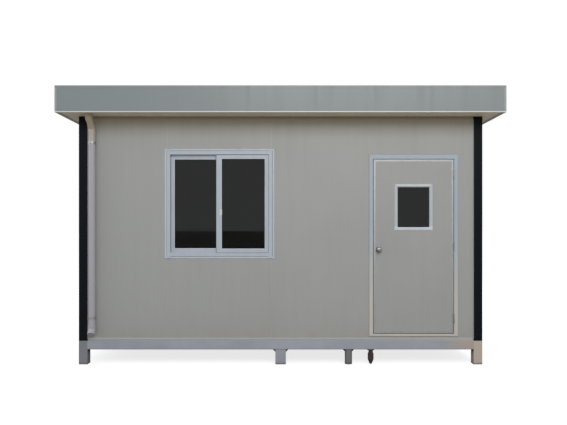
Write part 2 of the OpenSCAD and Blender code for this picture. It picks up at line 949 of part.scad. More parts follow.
// Each jamb has a face in front of the panels, and a body with the stop inside the opening
module door_jambs() {
    color(white_colour) for (way = [0, 1]) translate([door_x, 0, 0]) mirror([way, 0, 0]) {
        block([jamb_in, frame_y, door_bottom], [jamb_out, -face_y, door_top]);
        translate([0, 0, open_bottom]) linear_extrude(open_top - open_bottom) polygon([
            [jamb_in, -face_y - 0.5],
            [jamb_in, stop_y],
            [jamb_in - stop_w, stop_y],
            [jamb_in - stop_w, -inner_y],
            [jamb_out - frame_lap, -inner_y],
            [jamb_out - frame_lap, -face_y - 0.5]
        ]);
    }
}

// A bar between the jambs with its outer edge at zero and its stop above the face width given
module door_bar(face) {
    difference() {
        run_x(-jamb_in, jamb_in) polygon([
            [-face_y, 0],
            [frame_y, 0],
            [frame_y, face],
            [stop_y, face],
            [stop_y, face + stop_w],
            [-inner_y, face + stop_w],
            [-inner_y, frame_lap],
            [-face_y, frame_lap]
        ]);
        both_ends() block(
            [jamb_in - stop_w, stop_y, -1], [jamb_in + 1, 1 - inner_y, face + stop_w + 1]);
    }
}

module door_head_and_threshold() {
    color(white_colour) {
        translate([door_x, 0, door_bottom]) door_bar(threshold_face);
        translate([door_x, 0, door_top]) mirror([0, 0, 1]) door_bar(head_face);
    }
}

// The leaf's filling, with the hole for the vision glass
module door_leaf() {
    hole_w = vision_w / 2 + vision_bite + vision_gap;
    hole_h = vision_h / 2 + vision_bite + vision_gap;
    color("#cfcec8") difference() {
        block(
            [leaf_left + edge_w, leaf_y + skin_set, leaf_bottom + edge_w],
            [leaf_right - edge_w, leaf_back_y - skin_set, leaf_top - edge_w]);
        block(
            [door_x - hole_w, leaf_y - 1, vision_mid - hole_h],
            [door_x + hole_w, leaf_back_y + 1, vision_mid + hole_h]);
        knob_bore(spindle_r + run_gap);
    }
}

// A round hole through the leaf on the knob's axis
module knob_bore(r) {
    translate([knob_x, leaf_y - 50, knob_level]) rotate([-90, 0, 0]) cylinder(r = r, h = leaf_t + 100);
}

module door_edge_frame() {
    color("#d9dcde") difference() {
        block([leaf_left, leaf_y, leaf_bottom], [leaf_right, leaf_back_y, leaf_top]);
        block(
            [leaf_left + edge_w, leaf_y - 1, leaf_bottom + edge_w],
            [leaf_right - edge_w, leaf_back_y + 1, leaf_top - edge_w]);
    }
}

// A plate with sloping edges, lying on the X-Z plane and rising towards -Y
module bevelled_plate(w, h, t, slope_in) {
    hull() {
        translate([-w / 2, -0.01, -h / 2]) cube([w, 0.01, h]);
        translate([slope_in - w / 2, -t, slope_in - h / 2])
            cube([w - 2 * slope_in, 0.01, h - 2 * slope_in]);
    }
}

// The outer bead: a bevelled ring on the skin, with a stem that reaches in to the glass
module vision_bead() {
    skin = leaf_y + skin_set;
    glass = (leaf_y + leaf_back_y - vision_t) / 2;
    difference() {
        union() {
            translate([door_x, skin, vision_mid])
                bevelled_plate(vision_w + 2 * bead_w, vision_h + 2 * bead_w, bead_t, bead_slope);
            block(
                [door_x - vision_w / 2 - vision_bite, skin - 0.5, vision_mid - vision_h / 2 - vision_bite],
                [door_x + vision_w / 2 + vision_bite, glass, vision_mid + vision_h / 2 + vision_bite]);
        }
        block(
            [door_x - vision_w / 2, skin - bead_t - 1, vision_mid - vision_h / 2],
            [door_x + vision_w / 2, glass + 1, vision_mid + vision_h / 2]);
        translate([door_x, skin - bead_t - 0.01, vision_mid]) mirror([0, 1, 0])
            bevelled_plate(vision_w + 2 * bead_slope, vision_h + 2 * bead_slope, bead_t, bead_slope);
    }
}

module vision_beads() {
    middle = (leaf_y + leaf_back_y) / 2;
    color(white_colour) {
        vision_bead();
        translate([0, middle, 0]) mirror([0, 1, 0]) translate([0, -middle, 0]) vision_bead();
    }
}

module vision_pane() {
    middle = (leaf_y + leaf_back_y) / 2;
    bite = vision_bite;
    color("#30383c", 0.6) block(
        [door_x - vision_w / 2 - bite, middle - vision_t / 2, vision_mid - vision_h / 2 - bite],
        [door_x + vision_w / 2 + bite, middle + vision_t / 2, vision_mid + vision_h / 2 + bite]);
}

// The hinge half on the jamb: end knuckles, the pin through all three and a plate in the gap
module hinge_frame_half() {
    cylinder(r = knuckle_r, h = knuckle_h - knuckle_gap);
    translate([0, 0, 2 * knuckle_h + knuckle_gap]) cylinder(r = knuckle_r, h = knuckle_h - knuckle_gap);
    cylinder(r = pin_r, h = hinge_h);
    plate_x = leaf_gap / 2;
    block([plate_x - hinge_leaf_t, hinge_leaf_y, 0], [plate_x, hinge_leaf_y + hinge_leaf_l, hinge_h]);
    for (z = [0, 2 * knuckle_h + knuckle_gap]) translate([0, 0, z])
        block([plate_x - hinge_leaf_t, 0, 0], [plate_x, hinge_leaf_y, knuckle_h - knuckle_gap]);
}

// The hinge half on the leaf: the middle knuckle with its bore, and a plate in the gap
module hinge_door_half() {
    plate_x = -leaf_gap / 2;
    difference() {
        union() {
            translate([0, 0, knuckle_h]) cylinder(r = knuckle_r, h = knuckle_h);
            translate([0, 0, knuckle_h])
                block([plate_x, 0, 0], [plate_x + hinge_leaf_t, hinge_leaf_y, knuckle_h]);
            block(
                [plate_x, hinge_leaf_y, 0],
                [plate_x + hinge_leaf_t, hinge_leaf_y + hinge_leaf_l, hinge_h]);
        }
        translate([0, 0, knuckle_h - 1]) cylinder(r = pin_r + pin_gap, h = knuckle_h + 2);
    }
}

module at_hinges() {
    for (level = hinge_levels) translate([pin_x, pin_y, level - hinge_h / 2]) children();
}

module hinge_frame_leaves() {
    color("#b4b8bc") at_hinges() hinge_frame_half();
}

module hinge_door_leaves() {
    color("#b4b8bc") at_hinges() hinge_door_half();
}

// Roses on both sides of the leaf
module knob_rosettes() {
    color("#9b9ea1") difference() {
        for (side = [0, 1]) knob_side(side) cylinder(r1 = rosette_r, r2 = rosette_r - 3, h = rosette_t);
        knob_bore(neck_r + run_gap);
    }
}

// Puts its children on the outside (0) or the inside (1) skin, with Z pointing off the leaf
module knob_side(side) {
    translate([knob_x, side == 0 ? leaf_y + skin_set : leaf_back_y - skin_set, knob_level])
        rotate([side == 0 ? 90 : -90, 0, 0]) children();
}

// Both knobs and the spindle between them turn as one
module door_knob() {
    color("#8b8e92") {
        translate([knob_x, leaf_y + skin_set, knob_level]) rotate([-90, 0, 0])
            cylinder(r = spindle_r, h = leaf_t - 2 * skin_set);
        for (side = [0, 1]) knob_side(side) rotate_extrude() polygon([
            [0, 0],
            [neck_r, 0],
            [neck_r, knob_l * 0.38],
            [knob_d / 2 - 5, knob_l * 0.5],
            [knob_d / 2, knob_l * 0.66],
            [knob_d / 2 - 2, knob_l * 0.86],
            [knob_d / 2 - 10, knob_l],
            [0, knob_l]
        ]);
    }
}

legs();
leg_gussets();
round_prop();
screw_jack();
base_beams();
floor_joists();
floor_deck();
corner_posts();
wall_tracks();
left_front_panel();
window_panel();
middle_front_panel();
door_panel();
right_front_panel();
back_wall_panels();
end_wall_panels();
wall_corner_trims();
ceiling_panels();
roof_long_beams();
roof_end_beams();
rafters();
roof_sheet();
gutter_sole();
gutter_walls();
eave_brackets();
soffit_long_boards();
soffit_end_boards();
long_fascias();
end_fascias();
soffit_ledges();
roof_long_caps();
roof_end_caps();
fascia_corner_trims();
downspout();
downspout_clips();
window_jambs();
window_head_and_sill();
rear_sash();
front_sash();
window_panes();
window_latch();
door_jambs();
door_head_and_threshold();
hinge_frame_leaves();
hinge_door_leaves();
door_leaf();
door_edge_frame();
vision_beads();
vision_pane();
knob_rosettes();
door_knob();
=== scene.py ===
"""Finishes and small parts of a portable panel cabin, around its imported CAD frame."""

import math

import bmesh
import bpy
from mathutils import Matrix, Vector


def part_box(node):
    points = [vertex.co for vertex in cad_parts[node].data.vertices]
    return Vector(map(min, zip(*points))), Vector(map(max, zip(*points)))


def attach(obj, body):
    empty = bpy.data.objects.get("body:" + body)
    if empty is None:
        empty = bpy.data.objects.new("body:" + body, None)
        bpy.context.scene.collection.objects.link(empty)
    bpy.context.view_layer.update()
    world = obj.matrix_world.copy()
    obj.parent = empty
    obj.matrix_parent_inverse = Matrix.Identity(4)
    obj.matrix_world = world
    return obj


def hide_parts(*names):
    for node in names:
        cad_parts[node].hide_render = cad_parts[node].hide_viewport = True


bl_info = {
    "name": "Panel cabin",
    "version": (1, 0, 0),
    "blender": (4, 5, 0),
    "location": "View3D > Sidebar > Cabin",
    "description": "Dresses a portable panel cabin: base, walls, roof, downspout, window and door",
    "category": "Object",
}

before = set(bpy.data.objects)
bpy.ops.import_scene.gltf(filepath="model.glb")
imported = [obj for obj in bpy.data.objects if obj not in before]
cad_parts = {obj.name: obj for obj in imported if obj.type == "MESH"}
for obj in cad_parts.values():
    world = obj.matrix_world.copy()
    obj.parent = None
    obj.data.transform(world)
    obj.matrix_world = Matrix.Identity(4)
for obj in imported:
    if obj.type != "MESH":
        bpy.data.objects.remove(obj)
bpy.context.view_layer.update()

MM = 0.001
FLOOR_REACH = 400
FRONT = Vector((0, -1, 0))
BACK = Vector((0, 1, 0))
RIGHT = Vector((1, 0, 0))
LEFT = Vector((-1, 0, 0))


def linear(code):
    """Linear RGB of an sRGB hex colour."""
    parts = [int(code[i:i + 2], 16) / 255 for i in (1, 3, 5)]
    return tuple(c / 12.92 if c <= 0.04045 else ((c + 0.055) / 1.055) ** 2.4 for c in parts)


# ---------------------------------------------------------------- settings


def colour(name, code, text):
    """A colour that a user may change."""
    return bpy.props.FloatVectorProperty(
        name=name, description=text, subtype="COLOR", size=3, min=0, max=1, default=linear(code))


def length(name, value_mm, text):
    """A length in metres that a user may change, given in millimetres."""
    return bpy.props.FloatProperty(
        name=name, description=text, default=value_mm * MM, min=0, unit="LENGTH", subtype="DISTANCE")


class CabinColours(bpy.types.PropertyGroup):
    """Paint and plastic colours"""

    wall: colour("Wall", "#a5a8a7", "Steel skin of the sandwich panels")
    fascia: colour("Fascia", "#868f92", "Boxed edge of the roof")
    edge: colour("Edges", "#8d9598", "Capping and lip of the fascia")
    # Paler than the boards' own tan: partly painted bounce light.
    soffit: colour("Soffit", "#ded6c4", "Boards under the eaves")
    steel: colour("Base frame", "#a4a9b4", "Enamel on the base frame and legs")
    post: colour("Posts", "#0c1117", "Enamel on the corner posts")
    prop: colour("Round prop", "#74777a", "Round prop under the front beam")
    jack: colour("Jack", "#3b2c31", "Screw jack under the front beam")
    track: colour("Tracks", "#a9abaf", "Folded tracks, trims and gutter")
    pipe: colour("Downspout", "#aeaeb7", "Downspout and its elbows")
    white: colour("Window", "#b9c3d0", "Window frame and sashes")
    door_frame: colour("Door frame", "#aab9c8", "Jambs and head of the door")
    door: colour("Door", "#a3a6a6", "Skins of the door leaf")


class CabinSizes(bpy.types.PropertyGroup):
    """Sizes of the small parts"""

    rivet: length("Rivet head", 8, "Diameter of a blind rivet's head")
    rivet_pitch: length("Rivet spacing", 290, "Distance between rivets along a track")
    screw_pitch: length("Roof screw spacing", 420, "Distance between the roof sheet's screws")
    weld: length("Weld bead", 6, "Width of a weld bead")
    sealant: length("Sealant", 5, "Width of the sealant fillets")
    gasket: length("Glazing gasket", 4, "Width of the rubber round each pane")
    pipe: length("Downspout", 75, "Outer diameter of the downspout")
    pipe_offset: length("Downspout offset", 110, "Distance from the outlet to the wall run")
    bend: length("Elbow radius", 60, "Centre-line radius of an elbow")
    knob: length("Knob", 56, "Diameter of the door knob")


class CabinView(bpy.types.PropertyGroup):
    """Where the camera stands"""

    distance: length("Distance", 6200, "From the camera to the posts' front face")
    height: length("Height", 1494, "Height of the camera")
    side: length("Side", 32, "Distance of the camera to the right of the centre")
    lens: bpy.props.FloatProperty(
        name="Lens", description="Focal length in millimetres", default=35.7, min=10, unit="CAMERA")
    shift: bpy.props.FloatProperty(
        name="Shift", description="Vertical lens shift", default=0.029)


# ---------------------------------------------------------------- nodes and finishes


def add_node(tree, kind, settings=None, links=None):
    """Adds a node. Settings are its own values or its sockets', and links feed its sockets."""
    node = tree.nodes.new(kind)
    for key, value in (settings or {}).items():
        if isinstance(key, str) and hasattr(node, key):
            setattr(node, key, value)
        else:
            node.inputs[key].default_value = value
    for key, source in (links or {}).items():
        tree.links.new(source, node.inputs[key])
    return node


def new_finish(name, base, roughness, **sockets):
    """A material with one Principled shader, whose constant sockets are set here."""
    material = bpy.data.materials.new(name)
    material.use_nodes = True
    tree = material.node_tree
    shader = tree.nodes["Principled BSDF"]
    shader.inputs["Base Color"].default_value = (*base, 1)
    shader.inputs["Roughness"].default_value = roughness
    for socket, value in sockets.items():
        shader.inputs[socket.replace("_", " ")].default_value = value
    return material, tree, shader


def place_of(tree, stretch=(1, 1, 1)):
    """Places on the object in metres, scaled along each axis."""
    where = add_node(tree, "ShaderNodeTexCoord")
    scaled = add_node(
        tree, "ShaderNodeMapping", {"Scale": stretch}, {"Vector": where.outputs["Object"]})
    return scaled.outputs["Vector"]


def cloudy(tree, size_mm, stretch=(1, 1, 1), detail=3.0, low=0.35, high=0.65):
    """A soft mask from 0 to 1 with patches of the size given."""
    noise = add_node(
        tree, "ShaderNodeTexNoise",
        {"Scale": 1 / (size_mm * MM), "Detail": detail, "Roughness": 0.55},
        {"Vector": place_of(tree, stretch)})
    return add_node(
        tree, "ShaderNodeMapRange", {"From Min": low, "From Max": high},
        {"Value": noise.outputs["Fac"]}).outputs["Result"]


def level_mask(tree, start, end, axis="Z"):
    """A mask that goes from 0 to 1 between two places on an axis, in metres."""
    where = add_node(tree, "ShaderNodeTexCoord")
    split = add_node(tree, "ShaderNodeSeparateXYZ", None, {"Vector": where.outputs["Object"]})
    return add_node(
        tree, "ShaderNodeMapRange",
        {"From Min": start, "From Max": end, "interpolation_type": "SMOOTHSTEP"},
        {"Value": split.outputs[axis]}).outputs["Result"]


def layered(tree, base, layers):
    """A base colour with layers over it. Each holds its colour, its share, and the masks that
    together say where it lies."""
    paint = base
    for over, share, *masks in layers:
        cover = masks[0]
        for mask in masks[1:]:
            cover = add_node(
                tree, "ShaderNodeMath", {"operation": "MULTIPLY"}, {0: cover, 1: mask}).outputs[0]
        if share != 1:
            cover = add_node(
                tree, "ShaderNodeMath", {"operation": "MULTIPLY", 1: share}, {0: cover}).outputs[0]
        settings, links = {"data_type": "RGBA", 7: (*over, 1)}, {0: cover}
        if isinstance(paint, tuple):
            settings[6] = (*paint, 1)
        else:
            links[6] = paint
        paint = add_node(tree, "ShaderNodeMix", settings, links).outputs[2]
    return paint


def band_layers(tree, bands):
    """Layers for bands of colour. Each band holds its axis, where it starts and is full, and its
    colour."""
    return [(band, 1, level_mask(tree, start, end, axis)) for axis, start, end, band in bands]


def vary_gloss(tree, shader, mask, low, high):
    """Lets the roughness follow a mask, between two values."""
    gloss = add_node(
        tree, "ShaderNodeMapRange", {"To Min": low, "To Max": high}, {"Value": mask})
    tree.links.new(gloss.outputs["Result"], shader.inputs["Roughness"])


def shade(base, factor):
    """A colour made lighter or darker."""
    return tuple(min(1.0, c * factor) for c in base)


def tint(base, other, share):
    """A colour moved towards another."""
    return tuple(a + (b - a) * share for a, b in zip(base, other))


def bumped(tree, shader, layers):
    """Feeds the shader a bump made of masks, each with its height in millimetres."""
    normal = None
    for mask, height_mm in layers:
        links = {"Height": mask}
        if normal:
            links["Normal"] = normal
        normal = add_node(
            tree, "ShaderNodeBump", {"Distance": height_mm * MM, "Strength": 1.0}, links).outputs["Normal"]
    tree.links.new(normal, shader.inputs["Normal"])


DUST = linear("#a89d8c")
RUST = linear("#6a4632")


def coated_sheet(
        name, base, roughness, soil=0.25, wave=(700, 0.5), grain=(6, 0.05), bottom=None, bands=()):
    """Coil-coated steel sheet. The paint is even, but the thin sheet waves a little between its
    fixings, rain leaves faint streaks, and near the bottom edge, where one is given, dust and
    painted shade darken it."""
    material, tree, shader = new_finish(name, base, roughness)
    streaks = cloudy(tree, 60, (1, 1, 0.05), 4, 0.45, 0.75)
    layers = [
        (shade(base, 1.02), 1, cloudy(tree, 900, detail=2)),
        *band_layers(tree, bands),
        (tint(shade(base, 0.8), DUST, 0.3), soil, streaks)]
    # Near the bottom edge, dust and painted shade darken the sheet.
    if bottom is not None:
        layers.append((
            shade(DUST, 0.85), 0.35, level_mask(tree, bottom + 300 * MM, bottom),
            cloudy(tree, 120, low=0.2, high=0.7)))
    tree.links.new(layered(tree, shade(base, 0.98), layers), shader.inputs["Base Color"])
    vary_gloss(tree, shader, streaks, roughness - 0.06, roughness + 0.1)
    bumped(tree, shader, [
        (cloudy(tree, wave[0], detail=1, low=0, high=1), wave[1]),
        (cloudy(tree, grain[0], detail=2, low=0, high=1), grain[1])])
    return material


def enamelled_steel(name, base, roughness, chips=0.5, specular=0.5, bands=()):
    """Alkyd enamel brushed over welded steel. Brush marks run along the bars, the paint is chipped
    to rust in small spots."""
    material, tree, shader = new_finish(name, base, roughness, Specular_IOR_Level=specular)
    spots = cloudy(tree, 14, detail=5, low=0.66, high=0.70)
    layers = [
        (shade(base, 1.06), 1, cloudy(tree, 350, detail=4)),
        *band_layers(tree, bands),
        (RUST, chips, spots, cloudy(tree, 260, low=0.45, high=0.6))]
    tree.links.new(layered(tree, shade(base, 0.93), layers), shader.inputs["Base Color"])
    bumped(tree, shader, [
        (cloudy(tree, 90, detail=2, low=0, high=1), 0.25),
        (cloudy(tree, 5, detail=3, low=0, high=1), 0.06),
        (spots, -0.15)])
    return material


def smooth_plastic(name, base, roughness, yellow=0.12, bands=()):
    """Extruded or moulded plastic. It is smooth and slightly glossy, with a soft grey bloom of dust."""
    material, tree, shader = new_finish(name, base, roughness, IOR=1.5)
    bloom = cloudy(tree, 180, (1, 1, 0.3), 4, 0.4, 0.7)
    layers = [*band_layers(tree, bands), (DUST, yellow, bloom)]
    tree.links.new(layered(tree, base, layers), shader.inputs["Base Color"])
    bumped(tree, shader, [(cloudy(tree, 30, (1, 1, 0.2), 2, 0, 1), 0.03)])
    return material


def powder_coat(name, base, bands=()):
    """Polyester powder baked on aluminium profile. It has a fine orange peel and a little dust."""
    material, tree, shader = new_finish(name, base, 0.38)
    dust = cloudy(tree, 70, (1, 1, 0.25), 4, 0.4, 0.75)
    layers = [*band_layers(tree, bands), (shade(DUST, 1.05), 0.18, dust)]
    tree.links.new(layered(tree, base, layers), shader.inputs["Base Color"])
    bumped(tree, shader, [(cloudy(tree, 4, detail=2, low=0, high=1), 0.03)])
    return material


def bright_metal(name, base, roughness, grain=(40, 1, 1), size_mm=12, stain=0.3):
    """Bare extruded or rolled metal. Fine lines run along it, and handling leaves dull stains."""
    material, tree, shader = new_finish(name, base, roughness, Metallic=1.0)
    lines = cloudy(tree, size_mm, grain, 3, 0.2, 0.8)
    stains = cloudy(tree, 45, detail=4, low=0.5, high=0.7)
    tree.links.new(
        layered(tree, base, [(shade(base, 0.55), stain, stains)]), shader.inputs["Base Color"])
    vary_gloss(tree, shader, lines, roughness - 0.08, roughness + 0.12)
    bumped(tree, shader, [(lines, 0.03)])
    return material


def float_glass(name):
    """Grey-tinted float glass. It mirrors a little, and the unlit room behind it stays almost black."""
    material, tree, shader = new_finish(
        name, linear("#4c5356"), 0.02, IOR=1.38, Transmission_Weight=1.0)
    vary_gloss(tree, shader, cloudy(tree, 260, detail=3), 0.01, 0.05)
    bumped(tree, shader, [(cloudy(tree, 500, detail=1, low=0, high=1), 0.12)])
    return material


def rubber(name, base=linear("#1b1c1d")):
    """Extruded EPDM rubber. It is matt, with a grey bloom."""
    material, tree, shader = new_finish(name, base, 0.75, Specular_IOR_Level=0.3)
    bloom = cloudy(tree, 25, detail=4)
    tree.links.new(
        layered(tree, base, [(tint(base, DUST, 0.1), 0.4, bloom)]), shader.inputs["Base Color"])
    return material


def sealant(name, base):
    """Gunned silicone sealant. The bead is tooled by finger, so it is smooth but a little lumpy."""
    material, tree, shader = new_finish(name, base, 0.45)
    soil = cloudy(tree, 40, detail=4, low=0.4, high=0.7)
    tree.links.new(
        layered(tree, base, [(shade(DUST, 0.7), 0.35, soil)]), shader.inputs["Base Color"])
    bumped(tree, shader, [(cloudy(tree, 25, detail=2, low=0, high=1), 0.5)])
    return material


def plywood(name):
    """Rotary-cut plywood. Long wavy grain runs across the sheets, whose butt joints show dark."""
    base, dark = linear("#8f7b5c"), linear("#5d4a33")
    material, tree, shader = new_finish(name, base, 0.7)
    grain = cloudy(tree, 40, (0.08, 1, 1), 6, 0.35, 0.7)
    wood = layered(tree, base, [(dark, 1, grain)])
    joints = add_node(
        tree, "ShaderNodeTexBrick",
        {"Scale": 1.0, "Mortar Size": 0.002, "Brick Width": 2.44, "Row Height": 1.22,
         "Color1": (1, 1, 1, 1), "Color2": (0.85, 0.85, 0.85, 1), "Mortar": (0, 0, 0, 1)},
        {"Vector": place_of(tree)})
    joined = add_node(
        tree, "ShaderNodeMix", {"data_type": "RGBA", "blend_type": "MULTIPLY", 0: 0.8},
        {6: wood, 7: joints.outputs["Color"]})
    tree.links.new(joined.outputs[2], shader.inputs["Base Color"])
    bumped(tree, shader, [(grain, 0.15)])
    return material


def zinc_sheet(name, base):
    """Hot-dipped aluminium-zinc sheet. Its spangle shows as small flakes, and water leaves pale marks."""
    material, tree, shader = new_finish(name, base, 0.55, Metallic=0.6)
    flakes = add_node(
        tree, "ShaderNodeTexVoronoi", {"Scale": 1 / (14 * MM)}, {"Vector": place_of(tree)})
    marks = cloudy(tree, 240, detail=4, low=0.5, high=0.75)
    metal = add_node(
        tree, "ShaderNodeMix", {"data_type": "RGBA", "blend_type": "OVERLAY", 0: 0.12, 6: (*base, 1)},
        {7: flakes.outputs["Color"]})
    paled = layered(tree, metal.outputs[2], [(linear("#b9b5ab"), 0.5, marks)])
    tree.links.new(paled, shader.inputs["Base Color"])
    bumped(tree, shader, [(cloudy(tree, 400, detail=1, low=0, high=1), 0.6)])
    return material


def dress(material, *nodes):
    """Gives CAD nodes a finish."""
    for node in nodes:
        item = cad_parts[node]
        for place in item.material_slots:
            place.material = material
        if not item.material_slots:
            item.data.materials.append(material)


# ---------------------------------------------------------------- mesh parts


def angles(steps):
    """Angles at even steps round a circle."""
    return [2 * math.pi * i / steps for i in range(steps)]


def add_skin(shape, rings):
    """Skins a row of rings that have the same number of points, and closes both ends."""
    count = len(rings[0])
    for ring, following in zip(rings, rings[1:]):
        for i in range(count):
            j = (i + 1) % count
            shape.faces.new((ring[i], ring[j], following[j], following[i]))
    shape.faces.new(list(reversed(rings[0])))
    shape.faces.new(rings[-1])


def add_turned(shape, centre, axis, profile, steps=24):
    """A turned form on an axis. The profile holds radius and height, from the base to the tip."""
    axis = Vector(axis).normalized()
    side = axis.orthogonal().normalized()
    other = axis.cross(side)
    rings = []
    for radius, height in profile:
        rings.append([
            shape.verts.new(
                Vector(centre) + axis * height
                + (side * math.cos(a) + other * math.sin(a)) * radius)
            for a in angles(steps)])
    add_skin(shape, rings)


def add_box(shape, low, high, chamfer=0.0):
    """A box between two corners, with its edges eased."""
    verts = bmesh.ops.create_cube(shape, size=1.0)["verts"]
    low, high = Vector(low), Vector(high)
    for vert in verts:
        vert.co = Vector(
            (low[i] + high[i]) / 2 + vert.co[i] * (high[i] - low[i]) for i in range(3))
    if chamfer:
        edges = {edge for vert in verts for edge in vert.link_edges}
        bmesh.ops.bevel(
            shape, geom=list(edges), offset=chamfer, segments=2, affect="EDGES", profile=0.6)


def add_rivet(shape, place, normal, diameter, height):
    """A blind rivet: a low dome with the pulled stem's dimple in the middle."""
    half = diameter / 2
    add_turned(shape, place, normal, [
        (half, 0), (half, height * 0.25), (half * 0.86, height * 0.62), (half * 0.55, height * 0.92),
        (half * 0.28, height), (half * 0.22, height * 0.7), (half * 0.1, height * 0.65)], 16)


def rivet_row(shape, start, end, pitch, normal, diameter, height):
    """Rivets at even distances from one point to another."""
    start, end = Vector(start), Vector(end)
    count = max(1, round((end - start).length / pitch))
    for i in range(count + 1):
        add_rivet(shape, start.lerp(end, i / count), normal, diameter, height)


def rivets_round(shape, low, high, reach_x, reach_y, z, pitch, diameter, height):
    """Rivet rows at one level on the four sides of a box that is centred on the origin."""
    for y, normal in ((low.y, FRONT), (high.y, BACK)):
        rivet_row(shape, (-reach_x, y, z), (reach_x, y, z), pitch, normal, diameter, height)
    for x, normal in ((low.x, LEFT), (high.x, RIGHT)):
        rivet_row(shape, (x, -reach_y, z), (x, reach_y, z), pitch, normal, diameter, height)


def add_roof_screw(shape, place, normal, head=0.008):
    """A hexagon-headed roof screw on its rubber-backed washer."""
    add_turned(shape, place, normal, [
        (head, 0), (head, 0.0018), (head * 0.94, 0.0026), (head * 0.7, 0.003)], 20)
    add_turned(shape, Vector(place) + normal * 0.003, normal, [
        (head * 0.5, 0), (head * 0.5, 0.0042), (head * 0.42, 0.005)], 6)


def add_weld(shape, start, end, width):
    """A weld bead: a half-round bar with the ripples of the weld pool."""
    start, end = Vector(start), Vector(end)
    run = end - start
    ripple = width * 0.5
    count = max(6, round(run.length / ripple) * 2)
    axis = run.normalized()
    side = axis.orthogonal().normalized()
    other = axis.cross(side)
    rings = []
    for i in range(count + 1):
        swell = 0.5 if i in (0, count) else (1.0 if i % 2 else 0.84)
        rings.append([
            shape.verts.new(
                start + run * (i / count)
                + (side * math.cos(a) + other * math.sin(a)) * width / 2 * swell)
            for a in angles(10)])
    add_skin(shape, rings)


def add_frame(shape, low, high, section, gap=0.0):
    """Four mitred bars round a rectangle in the X-Z plane. The section holds points of distance
    inwards from the rectangle and of Y. A gap leaves a fine open line at each mitre."""
    x0, z0, x1, z1 = low.x, low.z, high.x, high.z
    corners = [(x0, z0, 1, 1), (x1, z0, -1, 1), (x1, z1, -1, -1), (x0, z1, 1, -1)]
    for k in range(4):
        ax, az, ux, uz = corners[k]
        bx, bz, vx, vz = corners[(k + 1) % 4]
        along = Vector((bx - ax, 0, bz - az)).normalized()
        first = [
            shape.verts.new(Vector((ax + ux * u, y, az + uz * u)) + along * gap) for u, y in section]
        last = [
            shape.verts.new(Vector((bx + vx * u, y, bz + vz * u)) - along * gap) for u, y in section]
        add_skin(shape, [first, last])


def fillet(width, y, toward=-1):
    """Section of a sealant fillet that lies outside a rectangle against a face at y."""
    return [(0, y), (-width, y), (-width * 0.55, y + toward * width * 0.35), (0, y + toward * width)]


def make_piece(name, shape, material, body, smooth=35, replaces=()):
    """Turns a bmesh into a piece of the cabin that rides on a body."""
    bmesh.ops.recalc_face_normals(shape, faces=shape.faces[:])
    mesh = bpy.data.meshes.new(name)
    shape.to_mesh(mesh)
    shape.free()
    mesh.materials.append(material)
    mesh.polygons.foreach_set("use_smooth", [True] * len(mesh.polygons))
    mesh.set_sharp_from_angle(angle=math.radians(smooth))
    piece = bpy.data.objects.new(name, mesh)
    bpy.context.scene.collection.objects.link(piece)
    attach(piece, body)
    if replaces:
        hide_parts(*replaces)
    return piece


# ---------------------------------------------------------------- operators


